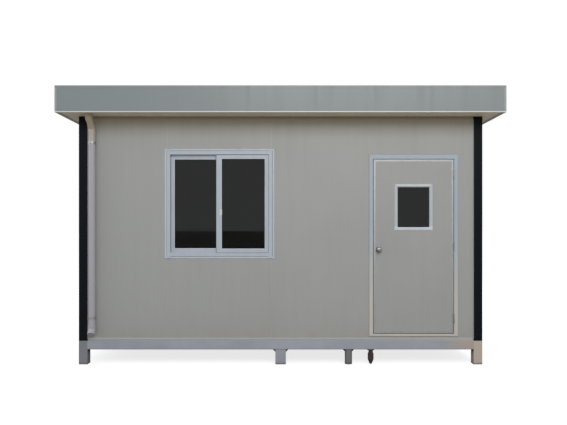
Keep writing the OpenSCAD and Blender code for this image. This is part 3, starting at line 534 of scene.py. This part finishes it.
class CABIN_OT_base(bpy.types.Operator):
    """Paints the base frame and adds its weld beads"""

    bl_idname = "cabin.base"
    bl_label = "Base frame"

    def execute(self, context):
        colours, sizes = context.scene.cabin_colours, context.scene.cabin_sizes
        beam_low, beam_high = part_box("base_beams")
        leg_low, leg_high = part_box("legs")
        clear, top = beam_low.z, beam_high.z

        edge, dark_foot_height = 10 * MM, 30 * MM
        # Where painted sunlight on the right and painted shade on the left fade in across the ends of the
        # frame.
        light_fade_from, light_fade_to = leg_high.x - 350 * MM, leg_high.x - 150 * MM
        grey, pipe = tuple(colours.steel), tuple(colours.prop)
        # A darker tone towards the feet; on the beams and legs it is painted shade.
        dark_foot_tone = linear("#4d4b4a")
        # Beams: the warmer, lighter right end is painted sunlight, and the dark band along the bottom edge
        # is painted shade under the lower flange.
        steel = enamelled_steel(
            "grey_alkyd_enamel_on_beams", grey, 0.5, bands=[
                ("X", light_fade_from - 150 * MM, light_fade_to + 30 * MM, linear("#b4a9a1")),
                ("Z", clear + edge, clear, tint(grey, dark_foot_tone, 0.8))])
        dress(steel, "base_beams")
        # Legs: the warm right-hand legs are painted sunlight, the darker left-hand legs are painted shade,
        # and the dark band at the foot is painted shade where they meet the ground.
        dress(
            enamelled_steel(
                "grey_alkyd_enamel_on_legs", shade(grey, 0.88), 0.5, bands=[
                    ("X", light_fade_from, light_fade_to, linear("#c2b5aa")),
                    ("X", -light_fade_from, -light_fade_to, linear("#84878e")),
                    ("Z", dark_foot_height, 0, tint(grey, dark_foot_tone, 0.7))]),
            "legs")
        # A darker copy of the frame enamel: painted shade for the parts inside the cabin.
        hidden = enamelled_steel("grey_enamel_painted_shade_inside", shade(colours.steel, 0.8), 0.6)
        dress(
            hidden, "floor_joists", "roof_long_beams", "roof_end_beams", "rafters", "eave_brackets")
        # The prop grows darker towards its foot.
        dress(
            enamelled_steel(
                "weathered_galvanised_pipe", pipe, 0.55, chips=0.8,
                bands=[("Z", dark_foot_height + edge, 0, tint(pipe, dark_foot_tone, 0.6))]),
            "round_prop")
        dress(
            enamelled_steel("maroon_primer_on_cast_iron", tuple(colours.jack), 0.6, chips=1.0),
            "screw_jack")
        # The gussets are near-black: painted shade in the corners between legs and beams.
        dress(
            enamelled_steel("near_black_gusset_painted_shade", linear("#191a1c"), 0.7, specular=0.2),
            "leg_gussets")
        dress(plywood("rotary_cut_plywood"), "floor_deck")

        beads = bmesh.new()
        leg_w = 95 * MM
        inset = sizes.weld * 0.3
        steps = 24
        for x in (leg_low.x + leg_w, leg_high.x - leg_w):
            for y in (beam_low.y + inset, beam_high.y - inset):
                add_weld(beads, (x, y, clear), (x, y, top - edge), sizes.weld)
        for node in ("round_prop", "screw_jack"):
            low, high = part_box(node)
            centre = (low + high) / 2
            radius = (high.x - low.x) / 2
            points = [
                Vector((centre.x + radius * math.cos(a), centre.y + radius * math.sin(a), clear - inset))
                for a in (2 * math.pi * i / steps for i in range(steps + 1))]
            for start, end in zip(points, points[1:]):
                add_weld(beads, start, end, sizes.weld)
        make_piece("weld_beads", beads, steel, "cabin", 60)
        return {"FINISHED"}


class CABIN_OT_walls(bpy.types.Operator):
    """Coats the walls, posts and ceiling and adds rivets along the tracks and trims"""

    bl_idname = "cabin.walls"
    bl_label = "Walls"

    def execute(self, context):
        colours, sizes = context.scene.cabin_colours, context.scene.cabin_sizes
        track_low, track_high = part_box("wall_tracks")
        post_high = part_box("corner_posts")[1]
        trim_low, trim_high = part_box("wall_corner_trims")
        top = track_high.z
        # The panels grow paler and warmer towards the top: painted light that lifts the shade under the
        # eaves.
        dress(
            coated_sheet(
                "stucco_embossed_panel_skin", tuple(colours.wall), 0.5, soil=0.16,
                wave=(850, 0.9), grain=(7, 0.12), bottom=track_low.z,
                bands=[("Z", top - 220 * MM, top - 30 * MM, linear("#b2ad9f"))]),
            "left_front_panel", "window_panel", "middle_front_panel", "door_panel",
            "right_front_panel", "back_wall_panels", "end_wall_panels")
        dress(
            coated_sheet("white_ceiling_skin", linear("#d4d4d0"), 0.5, soil=0.05),
            "ceiling_panels")
        eaves = top - 60 * MM
        hem = track_low.z + 30 * MM
        lit_end_from = 900 * MM
        grey = tuple(colours.track)
        # Tracks: the lighter, warmer right end is painted sunlight; the thin dark and light lines near the
        # top of the lower track are a painted shadow line and a painted highlight; the tan band under the
        # eaves is painted shade.
        track = coated_sheet(
            "folded_prepainted_steel", grey, 0.42, soil=0.2, wave=(300, 0.3), bands=[
                ("X", lit_end_from, track_high.x, linear("#b9b4ab")),
                ("Z", hem - 11 * MM, hem - 10 * MM, shade(grey, 0.62)),
                ("Z", hem - 7 * MM, hem - 6 * MM, shade(grey, 1.6)),
                ("Z", hem + 1 * MM, hem + 2 * MM, grey),
                ("Z", eaves, eaves + 15 * MM, linear("#a2957f"))])
        dress(track, "wall_tracks")
        trim = coated_sheet(
            "folded_corner_trim", tuple(colours.wall), 0.45, soil=0.2, wave=(300, 0.3),
            bottom=track_low.z)
        dress(trim, "wall_corner_trims")
        dress(zinc_sheet("aluminium_zinc_gutter", linear("#9da2a4")), "gutter_sole", "gutter_walls")
        dress(
            enamelled_steel(
                "black_enamel_on_hollow_section", tuple(colours.post), 0.5, chips=0.25, specular=0.1),
            "corner_posts")

        # The laps take a lighter copy of the wall skin: a painted highlight where the rolled edge catches
        # light.
        laps = bmesh.new()
        for node in ("window_panel", "middle_front_panel"):
            low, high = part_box(node)
            add_box(
                laps, (low.x - 3 * MM, low.y - 0.6 * MM, low.z),
                (low.x + 2 * MM, low.y + 1 * MM, high.z), 0.5 * MM)
        lap = coated_sheet("rolled_lap_highlight_of_panel_skin", shade(colours.wall, 1.18), 0.45, soil=0.1)
        make_piece("panel_laps", laps, lap, "cabin", 30)

        rivets = bmesh.new()
        head, rise = sizes.rivet, sizes.rivet * 0.3
        lip = 15 * MM
        post_w = 95 * MM
        end_x = post_high.x - post_w - 60 * MM
        end_y = post_high.y - post_w - 60 * MM
        for z in (track_low.z + lip, track_high.z - lip):
            rivets_round(
                rivets, track_low, track_high, end_x, end_y, z, sizes.rivet_pitch, head, rise)
        trim_mid = post_w + 18 * MM
        margin = 80 * MM
        low, high = trim_low.z + margin, trim_high.z - margin
        pitch = 1.4 * sizes.rivet_pitch
        for side in (-1, 1):
            for y, normal in ((track_low.y, FRONT), (track_high.y, BACK)):
                x = side * (post_high.x - trim_mid)
                rivet_row(rivets, (x, y, low), (x, y, high), pitch, normal, head, rise)
            for x, normal in ((track_low.x, LEFT), (track_high.x, RIGHT)):
                y = side * (post_high.y - trim_mid)
                rivet_row(rivets, (x, y, low), (x, y, high), pitch, normal, head, rise)
        make_piece("track_rivets", rivets, track, "cabin", 50)
        return {"FINISHED"}


class CABIN_OT_roof(bpy.types.Operator):
    """Coats the roof, fascias and soffits and adds rivets and roof screws"""

    bl_idname = "cabin.roof"
    bl_label = "Roof"

    def execute(self, context):
        colours, sizes = context.scene.cabin_colours, context.scene.cabin_sizes
        cap_low, cap_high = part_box("roof_long_caps")
        sheet_low, sheet_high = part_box("roof_sheet")
        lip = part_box("long_fascias")[0].z + 10 * MM
        # The thin bright band at the fascia's bottom lip is a painted highlight.
        dress(
            coated_sheet(
                "roll_formed_fascia_sheet", tuple(colours.fascia), 0.4, soil=0.05, wave=(520, 0.4),
                grain=(9, 0.04), bands=[("Z", lip, lip - 0.5 * MM, linear("#dfe5e9"))]),
            "long_fascias", "end_fascias")
        bright = coated_sheet(
            "folded_edge_capping", tuple(colours.edge), 0.38, soil=0.25, wave=(260, 0.5))
        dress(bright, "roof_long_caps", "roof_end_caps", "soffit_ledges")
        # The corner covers take a lighter copy of the capping: a painted highlight on the fascia's corners.
        dress(
            coated_sheet("folded_corner_cover_highlight", shade(colours.edge, 1.25), 0.38, soil=0.2),
            "fascia_corner_trims")
        # The soffit's pale tan is partly the boards' colour and partly painted bounce light from the ground.
        dress(
            coated_sheet(
                "tan_soffit_board_with_painted_bounce", tuple(colours.soffit), 0.55, soil=0.35, wave=(300, 0.6)),
            "soffit_long_boards", "soffit_end_boards")
        dress(zinc_sheet("aluminium_zinc_roof_sheet", linear("#979da0")), "roof_sheet")

        rivets = bmesh.new()
        corner = 120 * MM
        rivets_round(
            rivets, cap_low, cap_high, cap_high.x - corner, cap_high.y - corner,
            (cap_low.z + cap_high.z) / 2, sizes.rivet_pitch, sizes.rivet * 0.9, 0.9 * MM)
        make_piece("cap_rivets", rivets, bright, "cabin", 50)

        screws = bmesh.new()
        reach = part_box("rafters")[1].x
        fall = 60 * MM
        run = sheet_high.y - sheet_low.y
        slope = math.atan2(fall, run)
        normal = Vector((0, -math.sin(slope), math.cos(slope)))
        count = max(2, round(run / sizes.screw_pitch))
        rib_pitch = 200 * MM
        for i in range(-2, 3):
            x = round(i * reach / 2 / rib_pitch) * rib_pitch
            for k in range(count):
                share = (k + 0.5) / count
                y = sheet_low.y + run * share
                z = sheet_high.z - (sheet_high.y - y) * math.tan(slope)
                add_roof_screw(screws, (x, y, z - 1 * MM), normal)
        make_piece(
            "roof_screws", screws, bright_metal("zinc_plated_screw", linear("#b9bbbc"), 0.4), "cabin",
            40)
        return {"FINISHED"}


class CABIN_OT_downspout(bpy.types.Operator):
    """Builds the downspout with its socketed elbows and hollow shoe"""

    bl_idname = "cabin.downspout"
    bl_label = "Downspout"

    def execute(self, context):
        colours, sizes = context.scene.cabin_colours, context.scene.cabin_sizes
        low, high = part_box("downspout")
        clip_low, clip_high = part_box("downspout_clips")
        radius = sizes.pipe / 2
        x = (clip_low.x + clip_high.x) / 2
        run_y = clip_low.y + 3.3 * MM + radius
        top_y = run_y - sizes.pipe_offset
        turn = math.radians(45)
        shoe_turn = math.radians(40)
        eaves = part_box("soffit_long_boards")[0].z
        side = sizes.bend * (1 - math.cos(turn))
        drop = sizes.bend * math.sin(turn)
        diagonal = (sizes.pipe_offset - 2 * side) / math.sin(turn)
        run_top = eaves - 2 * drop - diagonal * math.cos(turn)
        shoe = 30 * MM
        collar = 4 * MM
        run_bottom = (
            low.z + sizes.bend * math.sin(shoe_turn) + shoe * math.cos(shoe_turn)
            + (radius + collar) * math.sin(shoe_turn))

        def station(y, z, heading, r):
            """A ring's centre, heading and radius. The heading turns from straight down to +Y."""
            return Vector((x, y, z)), heading, r

        def bend(y, z, heading, angle, r, steps=12):
            """Rings round an elbow, and where it ends."""
            sign = 1 if angle > 0 else -1
            rings = []
            for i in range(1, steps + 1):
                now = heading + angle * i / steps
                ny = y + sign * sizes.bend * (math.cos(heading) - math.cos(now))
                nz = z - sign * sizes.bend * (math.sin(now) - math.sin(heading))
                rings.append(station(ny, nz, now, r))
            return rings

        def tube(shape, rings, steps=40):
            """Skins a row of rings, closed at both ends."""
            rows = []
            for centre, heading, r in rings:
                across = Vector((0, math.cos(heading), math.sin(heading)))
                rows.append([
                    shape.verts.new(centre + (RIGHT * math.cos(a) + across * math.sin(a)) * r)
                    for a in angles(steps)])
            add_skin(shape, rows)

        def shifted(ring, distance, r):
            """A ring moved along its heading."""
            centre, heading, _ = ring
            step = Vector((0, math.sin(heading), -math.cos(heading))) * distance
            return centre + step, heading, r

        def fitting(shape, rings, before, after):
            """An elbow with a rounded socket at each end."""
            lip = radius + 2.4 * MM
            wide = radius + collar
            first, last = rings[0], rings[-1]
            tube(shape, [
                shifted(first, -before, radius), shifted(first, -before, wide - 1 * MM),
                shifted(first, -before + 1 * MM, wide), shifted(first, -before + 8 * MM, wide),
                shifted(first, -before + 9 * MM, lip),
                *[(centre, heading, lip) for centre, heading, _ in rings],
                shifted(last, after - 9 * MM, lip), shifted(last, after - 8 * MM, wide),
                shifted(last, after - 1 * MM, wide), shifted(last, after, wide - 1 * MM),
                shifted(last, after, radius)])

        pipe = bmesh.new()
        outlet = station(top_y, high.z, 0, radius)
        first = [station(top_y, eaves, 0, radius), *bend(top_y, eaves, 0, turn, radius)]
        run_in = first[-1]
        second_start = shifted(run_in, diagonal, radius)
        second = [second_start, *bend(second_start[0].y, second_start[0].z, turn, -turn, radius)]
        foot = station(run_y, run_bottom, 0, radius)
        shoe_bend = [foot, *bend(run_y, run_bottom, 0, -shoe_turn, radius)]
        mouth = shifted(shoe_bend[-1], shoe, radius)
        inner = radius - 3 * MM
        tube(pipe, [
            outlet, *first, *second, *shoe_bend, mouth, (mouth[0], mouth[1], inner),
            shifted(mouth, -45 * MM, inner)])
        fitting(pipe, first, 8 * MM, 14 * MM)
        fitting(pipe, second, 14 * MM, 34 * MM)
        fitting(pipe, shoe_bend, 34 * MM, 10 * MM)
        rim = 22 * MM
        wide = radius + collar
        tube(pipe, [
            (mouth[0], mouth[1], inner), (mouth[0], mouth[1], wide - 1 * MM),
            shifted(mouth, -1 * MM, wide), shifted(mouth, -rim, wide),
            shifted(mouth, -rim - 2 * MM, radius)])
        # The tan band at the top of the pipe, under the eaves, is a painted reflection of the soffit and
        # painted shade.
        plastic = smooth_plastic(
            "extruded_pvc_pipe", tuple(colours.pipe), 0.35,
            bands=[("Z", run_top - 0.25, run_top + 0.1, linear("#b3a996"))])
        make_piece("rain_pipe", pipe, plastic, "cabin", 40, ("downspout",))
        dress(bright_metal("zinc_plated_pipe_clip", linear("#a9abad"), 0.42), "downspout_clips")
        return {"FINISHED"}


class CABIN_OT_window(bpy.types.Operator):
    """Finishes the sliding window and adds its gaskets, beads, lip, seals with painted shadow lines, sealant
    and latch
    """

    bl_idname = "cabin.window"
    bl_label = "Window"

    def execute(self, context):
        colours, sizes = context.scene.cabin_colours, context.scene.cabin_sizes
        white = powder_coat("white_powder_coated_profile", tuple(colours.white))
        black = rubber("extruded_epdm_gasket")
        dress(white, "window_jambs", "window_head_and_sill", "rear_sash", "front_sash")
        dress(float_glass("grey_float_glass"), "window_panes")

        rails = {"rear_sash": (43, 43, 50), "front_sash": (63, 43, 47)}
        gaskets, beads = bmesh.new(), bmesh.new()
        for node, (left, right, rail) in rails.items():
            low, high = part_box(node)
            light_low = low + Vector((left * MM, 0, rail * MM))
            light_high = high - Vector((right * MM, 0, rail * MM))
            glass = (low.y + high.y) / 2 - 2.5 * MM
            width = sizes.gasket
            tuck = Vector((1, 0, 1)) * 0.5 * MM
            add_frame(gaskets, light_low - tuck, light_high + tuck, [
                (0, glass - 0.2 * MM), (width, glass - 0.2 * MM), (width * 0.9, glass - 2 * MM),
                (0, glass - 3.5 * MM)])
            step = 10 * MM
            outer_low = light_low - Vector((step, 0, step))
            outer_high = light_high + Vector((step, 0, step))
            face = low.y
            add_frame(beads, outer_low, outer_high, [
                (0.4 * MM, face + 3.8 * MM), (0.4 * MM, face + 1.0 * MM), (1.4 * MM, face + 0.2 * MM),
                (4.5 * MM, face + 0.2 * MM), (9.4 * MM, face + 2.6 * MM), (9.4 * MM, face + 3.8 * MM)],
                0.25 * MM)
        make_piece("glazing_gaskets", gaskets, black, "cabin", 40)
        # The beads and the frame's lip take a lighter copy of the window white: a painted highlight on their
        # edges.
        bright = powder_coat("white_bead_and_lip_highlight", shade(colours.white, 1.2))
        make_piece("glazing_beads", beads, bright, "cabin", 40)

        frame_low = Vector(map(min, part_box("window_jambs")[0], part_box("window_head_and_sill")[0]))
        frame_high = Vector(map(max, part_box("window_jambs")[1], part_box("window_head_and_sill")[1]))
        wall = frame_low.y + 12 * MM
        line = bmesh.new()
        add_frame(line, frame_low, frame_high, fillet(sizes.sealant, wall))
        white_bead = sealant("white_silicone_sealant", linear("#c0c7cf"))
        make_piece("window_sealant", line, white_bead, "cabin", 30)

        lip, lines = bmesh.new(), bmesh.new()
        flange, thick = 20 * MM, 3 * MM
        plane = wall - thick
        add_frame(lip, frame_low, frame_high, [
            (0.2 * MM, plane), (1.2 * MM, plane - 1.5 * MM), (flange - 6 * MM, plane - 1.5 * MM),
            (flange - 4 * MM, plane)], 0.2 * MM)
        make_piece("frame_lip", lip, bright, "cabin", 40)
        # Dark strips round the sashes and at the frame's step: painted shadow lines in the gaps, which round
        # the sashes also stand for the seals.
        seal_w, seal_t = 3.6 * MM, 0.5 * MM
        outlines = [(*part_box(node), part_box(node)[0].y, 0) for node in rails]
        outlines.append((frame_low, frame_high, plane, flange - seal_w))
        for low, high, face, inset in outlines:
            add_frame(lines, low, high, [
                (inset, face + seal_t), (inset, face - seal_t), (inset + seal_w, face - seal_t),
                (inset + seal_w, face + seal_t)])
        make_piece(
            "seals_and_shadow_lines", lines, rubber("dark_seal_and_shadow_line", linear("#535b64")), "cabin", 30)

        low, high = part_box("window_latch")
        centre = (low + high) / 2
        half_w, half_h = (high.x - low.x) / 2, (high.z - low.z) / 2
        depth = high.y - low.y
        steps = 48

        def oval(inset, y):
            """A ring of the latch's outline, drawn in by the inset."""
            r = half_w - inset
            straight = half_h - half_w
            ring = []
            for i in range(steps):
                a = 2 * math.pi * (i + 0.5) / steps
                shift = straight if math.sin(a) > 0 else -straight
                ring.append(latch.verts.new((
                    centre.x + r * math.cos(a), y, centre.z + shift + r * math.sin(a))))
            return ring

        latch = bmesh.new()
        rings = [
            oval(0, high.y), oval(0, low.y + depth * 0.35), oval(1.2 * MM, low.y + depth * 0.1),
            oval(3 * MM, low.y), oval(6 * MM, low.y), oval(7 * MM, low.y + depth * 0.25),
            oval(8.5 * MM, low.y + depth * 0.6)]
        add_skin(latch, rings)
        make_piece(
            "finger_latch", latch, smooth_plastic("moulded_abs_latch", linear("#dfe2e2"), 0.3), "cabin",
            50, ("window_latch",))
        return {"FINISHED"}


class CABIN_OT_door(bpy.types.Operator):
    """Finishes the door and adds its seals, mitred beads, rosettes and knob"""

    bl_idname = "cabin.door"
    bl_label = "Door"

    def execute(self, context):
        colours, sizes = context.scene.cabin_colours, context.scene.cabin_sizes
        jamb_low, jamb_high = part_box("door_jambs")
        leaf_low, leaf_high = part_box("door_edge_frame")
        pale = tuple(colours.door_frame)
        # The frame turns warm cream towards its foot: painted bounce light from the ground.
        frame_white = powder_coat(
            "powder_coated_door_frame", pale, [("Z", 1.7, 0.5, tint(pale, linear("#dccfba"), 0.6))])
        dress(frame_white, "door_jambs", "door_head_and_threshold")
        dress(
            coated_sheet(
                "laminated_door_skin", tuple(colours.door), 0.45, soil=0.15, wave=(420, 0.35),
                grain=(5, 0.03)),
            "door_leaf")
        dress(
            bright_metal("extruded_aluminium_edge", linear("#a9adaf"), 0.5, (1, 1, 0.03), 3),
            "door_edge_frame")
        steel = bright_metal("brushed_stainless_hinge", linear("#9fa2a4"), 0.36, (1, 1, 0.1), 3)
        dress(steel, "hinge_frame_leaves", "hinge_door_leaves")
        dress(float_glass("grey_float_door_glass"), "vision_pane")
        black = rubber("extruded_epdm_door_seal")

        seal = bmesh.new()
        leaf_t = 40 * MM
        back = leaf_low.y + leaf_t
        stop = back + 6.5 * MM
        add_frame(seal, leaf_low, leaf_high, [
            (1 * MM, stop), (9 * MM, stop), (9 * MM, stop - 2 * MM), (7 * MM, stop - 4.2 * MM),
            (3 * MM, stop - 4.2 * MM), (1 * MM, stop - 2 * MM)])
        make_piece("door_seal", seal, black, "cabin", 50)

        line = bmesh.new()
        wall = jamb_low.y + 10 * MM
        add_frame(line, jamb_low, jamb_high, fillet(sizes.sealant * 0.8, wall))
        grey_bead = sealant("grey_silicone_sealant", linear("#8f908d"))
        make_piece("door_sealant", line, grey_bead, "cabin", 30)

        glass_low, glass_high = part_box("vision_pane")
        bead_low, bead_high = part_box("vision_beads")
        skin = leaf_low.y + 1 * MM
        back_skin = back - 1 * MM
        face_w = bead_high.x - glass_high.x + 16 * MM
        beads = bmesh.new()
        slope = 8 * MM
        lip = 0.25 * MM
        for outer, crest, pane in (
                (skin - 0.05 * MM, bead_low.y, glass_low.y - 0.3 * MM),
                (back_skin + 0.05 * MM, bead_high.y, glass_high.y + 0.3 * MM)):
            way = 1 if pane > crest else -1
            add_frame(beads, bead_low, bead_high, [
                (0, outer), (0.2 * MM, outer - way * 1.5 * MM), (slope, crest + way * 0.6 * MM),
                (slope + 1.5 * MM, crest), (face_w - slope, crest),
                (face_w - 1 * MM, outer - way * 1.2 * MM), (face_w, outer),
                (face_w, pane), (face_w - 12 * MM, pane), (face_w - 12 * MM, outer)], lip)
        # The bottom of the bead frame is paler: painted light where its faces turn up to the sky.
        lit_bottom_band = ("Z", bead_low.z + 60 * MM, bead_low.z + 30 * MM, linear("#d6e1ea"))
        moulded = powder_coat("moulded_glazing_bead", linear("#bfc9cf"), [lit_bottom_band])
        make_piece(
            "glazing_mouldings", beads, moulded, "door", 25, ("vision_beads",))

        gasket = bmesh.new()
        light_low = Vector((bead_low.x + face_w, 0, bead_low.z + face_w))
        light_high = Vector((bead_high.x - face_w, 0, bead_high.z - face_w))
        width = sizes.gasket * 0.8
        add_frame(gasket, light_low, light_high, [
            (0, glass_low.y - 0.2 * MM), (width, glass_low.y - 0.2 * MM),
            (width * 0.8, glass_low.y - 2 * MM), (0, glass_low.y - 3 * MM)])
        make_piece("door_glass_gasket", gasket, black, "door", 40)

        self.knob_set(sizes)
        return {"FINISHED"}

    def knob_set(self, sizes):
        """The knobs on both sides with their rosettes"""
        low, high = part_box("knob_rosettes")
        knob_low, knob_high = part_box("door_knob")
        centre = (knob_low + knob_high) / 2
        radius = sizes.knob / 2
        rose = (high.x - low.x) / 2
        leaf_low, leaf_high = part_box("door_leaf")
        reach = leaf_low.y - knob_low.y
        roses, knobs = bmesh.new(), bmesh.new()
        for skin, normal in ((leaf_low.y, FRONT), (leaf_high.y, BACK)):
            foot = Vector((centre.x, skin, centre.z))
            add_turned(roses, foot, normal, [
                (rose, 0), (rose, 1.2 * MM), (rose * 0.97, 2.2 * MM), (rose * 0.86, 3.0 * MM),
                (rose * 0.82, 4.4 * MM), (rose * 0.74, 5.0 * MM), (12 * MM, 5.0 * MM),
                (11.5 * MM, 3.0 * MM)], 48)
            add_turned(knobs, foot, normal, [
                (11 * MM, 0), (11 * MM, reach * 0.26), (12.5 * MM, reach * 0.33),
                (radius * 0.66, reach * 0.42), (radius * 0.86, reach * 0.49),
                (radius * 0.97, reach * 0.57), (radius, reach * 0.66), (radius * 0.98, reach * 0.77),
                (radius * 0.90, reach * 0.87), (radius * 0.76, reach * 0.95), (radius * 0.55, reach * 0.99),
                (radius * 0.36, reach), (radius * 0.34, reach * 0.975), (radius * 0.1, reach * 0.975)], 56)
        make_piece(
            "door_roses", roses, bright_metal("pressed_stainless_rose", linear("#5d6162"), 0.34, size_mm=5),
            "door", 30, ("knob_rosettes",))
        make_piece(
            "round_knobs", knobs, bright_metal("spun_stainless_knob", linear("#9b9e9f"), 0.3, size_mm=5),
            "knob", 30, ("door_knob",))
        # The key slot is a dark box: painted shade standing for the keyway's hollow.
        slot = bmesh.new()
        face = knob_low.y + reach * 0.025
        add_box(
            slot, (centre.x - 1.2 * MM, face - 0.2 * MM, centre.z - 4 * MM),
            (centre.x + 1.2 * MM, face + 2 * MM, centre.z + 4 * MM))
        make_piece("key_slot", slot, rubber("dark_key_slot"), "knob", 30)


class CABIN_OT_stage(bpy.types.Operator):
    """Makes the floor, the lights, the white surroundings and the camera"""

    bl_idname = "cabin.stage"
    bl_label = "Stage"

    def execute(self, context):
        scene, view = context.scene, context.scene.cabin_view
        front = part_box("corner_posts")[0].y
        self.floor()
        self.surroundings(scene)
        target = Vector((0, front, 1.4))
        self.softbox("front_softbox", Vector((1.5, front - 7.5, 6.3)), target, (7, 4), 350, "#fffaf4")
        self.softbox("side_softbox", Vector((-9.0, front - 2.0, 4.0)), target, (4, 4), 90, "#f2f6ff")
        self.softbox("rear_softbox", Vector((2.0, 9.0, 6.0)), Vector((0, 0, 1.4)), (6, 4), 320, "#f6f8ff")

        camera = bpy.data.cameras.new("camera")
        camera.lens = view.lens
        camera.sensor_width = 36
        camera.shift_y = view.shift
        item = bpy.data.objects.new("camera", camera)
        item.location = (view.side, front - view.distance, view.height)
        item.rotation_euler = (math.radians(90), 0, 0)
        scene.collection.objects.link(item)
        scene.camera = item
        scene.view_settings.view_transform = "Standard"
        return {"FINISHED"}

    def floor(self):
        """A pale floor. The camera sees it almost white, and it throws back less light than that"""
        shape = bmesh.new()
        bmesh.ops.create_grid(shape, x_segments=1, y_segments=1, size=FLOOR_REACH)
        mesh = bpy.data.meshes.new("floor")
        shape.to_mesh(mesh)
        shape.free()
        material = bpy.data.materials.new("pale_studio_floor")
        material.use_nodes = True
        tree = material.node_tree
        tree.nodes.clear()
        path = add_node(tree, "ShaderNodeLightPath")
        dull = add_node(tree, "ShaderNodeBsdfDiffuse", {"Color": (*linear("#b3aba0"), 1)})
        pale = add_node(tree, "ShaderNodeBsdfDiffuse", {"Color": (0.5, 0.5, 0.5, 1)})
        glow = add_node(tree, "ShaderNodeEmission", {"Color": (1, 1, 1, 1), "Strength": 0.78})
        seen = add_node(tree, "ShaderNodeAddShader", None, {0: pale.outputs[0], 1: glow.outputs[0]})
        mirrored = add_node(
            tree, "ShaderNodeMath", {"operation": "MAXIMUM"},
            {0: path.outputs["Is Camera Ray"], 1: path.outputs["Is Transmission Ray"]})
        mix = add_node(
            tree, "ShaderNodeMixShader", None,
            {0: mirrored.outputs[0], 1: dull.outputs[0], 2: seen.outputs[0]})
        add_node(tree, "ShaderNodeOutputMaterial", None, {"Surface": mix.outputs[0]})
        mesh.materials.append(material)
        item = bpy.data.objects.new("floor", mesh)
        bpy.context.scene.collection.objects.link(item)

    def surroundings(self, scene):
        """White to look at, in mirrors and through glass, and a soft dome of light otherwise"""
        world = bpy.data.worlds.new("surroundings")
        scene.world = world
        world.use_nodes = True
        tree = world.node_tree
        tree.nodes.clear()
        path = add_node(tree, "ShaderNodeLightPath")
        direct = add_node(
            tree, "ShaderNodeMath", {"operation": "MAXIMUM"},
            {0: path.outputs["Is Camera Ray"], 1: path.outputs["Is Glossy Ray"]})
        seen = add_node(
            tree, "ShaderNodeMath", {"operation": "MAXIMUM"},
            {0: direct.outputs[0], 1: path.outputs["Is Transmission Ray"]})
        dome = add_node(
            tree, "ShaderNodeBackground", {"Color": (*linear("#eef3fa"), 1), "Strength": 0.62})
        white = add_node(tree, "ShaderNodeBackground", {"Color": (1, 1, 1, 1), "Strength": 1.0})
        mix = add_node(
            tree, "ShaderNodeMixShader", None, {0: seen.outputs[0], 1: dome.outputs[0], 2: white.outputs[0]})
        add_node(tree, "ShaderNodeOutputWorld", None, {"Surface": mix.outputs[0]})

    def softbox(self, name, place, target, size, power, code):
        """A large rectangular lamp that faces a point"""
        lamp = bpy.data.lights.new(name, "AREA")
        lamp.shape = "RECTANGLE"
        lamp.size, lamp.size_y = size
        lamp.energy = power
        lamp.color = linear(code)
        item = bpy.data.objects.new(name, lamp)
        item.location = place
        item.rotation_mode = "QUATERNION"
        item.rotation_quaternion = (target - place).to_track_quat("-Z", "Y")
        bpy.context.scene.collection.objects.link(item)


STEPS = (
    CABIN_OT_stage, CABIN_OT_base, CABIN_OT_walls, CABIN_OT_roof, CABIN_OT_downspout,
    CABIN_OT_window, CABIN_OT_door)


class CABIN_PT_panel(bpy.types.Panel):
    """Lists the steps that dress the cabin"""

    bl_idname = "CABIN_PT_panel"
    bl_label = "Panel cabin"
    bl_space_type = "VIEW_3D"
    bl_region_type = "UI"
    bl_category = "Cabin"

    def draw(self, context):
        """Draws one button a step, and the settings below them."""
        for step in STEPS:
            self.layout.operator(step.bl_idname)
        for group in (context.scene.cabin_colours, context.scene.cabin_sizes, context.scene.cabin_view):
            box = self.layout.box()
            for name in group.__annotations__:
                box.prop(group, name)


SETTINGS = {"cabin_colours": CabinColours, "cabin_sizes": CabinSizes, "cabin_view": CabinView}
CLASSES = (*SETTINGS.values(), *STEPS, CABIN_PT_panel)


def register():
    """Registers the classes and hangs the settings on the scene."""
    for item in CLASSES:
        bpy.utils.register_class(item)
    for name, group in SETTINGS.items():
        setattr(bpy.types.Scene, name, bpy.props.PointerProperty(type=group))


def unregister():
    """Undoes register."""
    for name in SETTINGS:
        delattr(bpy.types.Scene, name)
    for item in reversed(CLASSES):
        bpy.utils.unregister_class(item)


def main():
    """Dresses the cabin."""
    register()
    for step in STEPS:
        group, name = step.bl_idname.split(".")
        getattr(getattr(bpy.ops, group), name)()


if __name__ == "__main__":
    main()
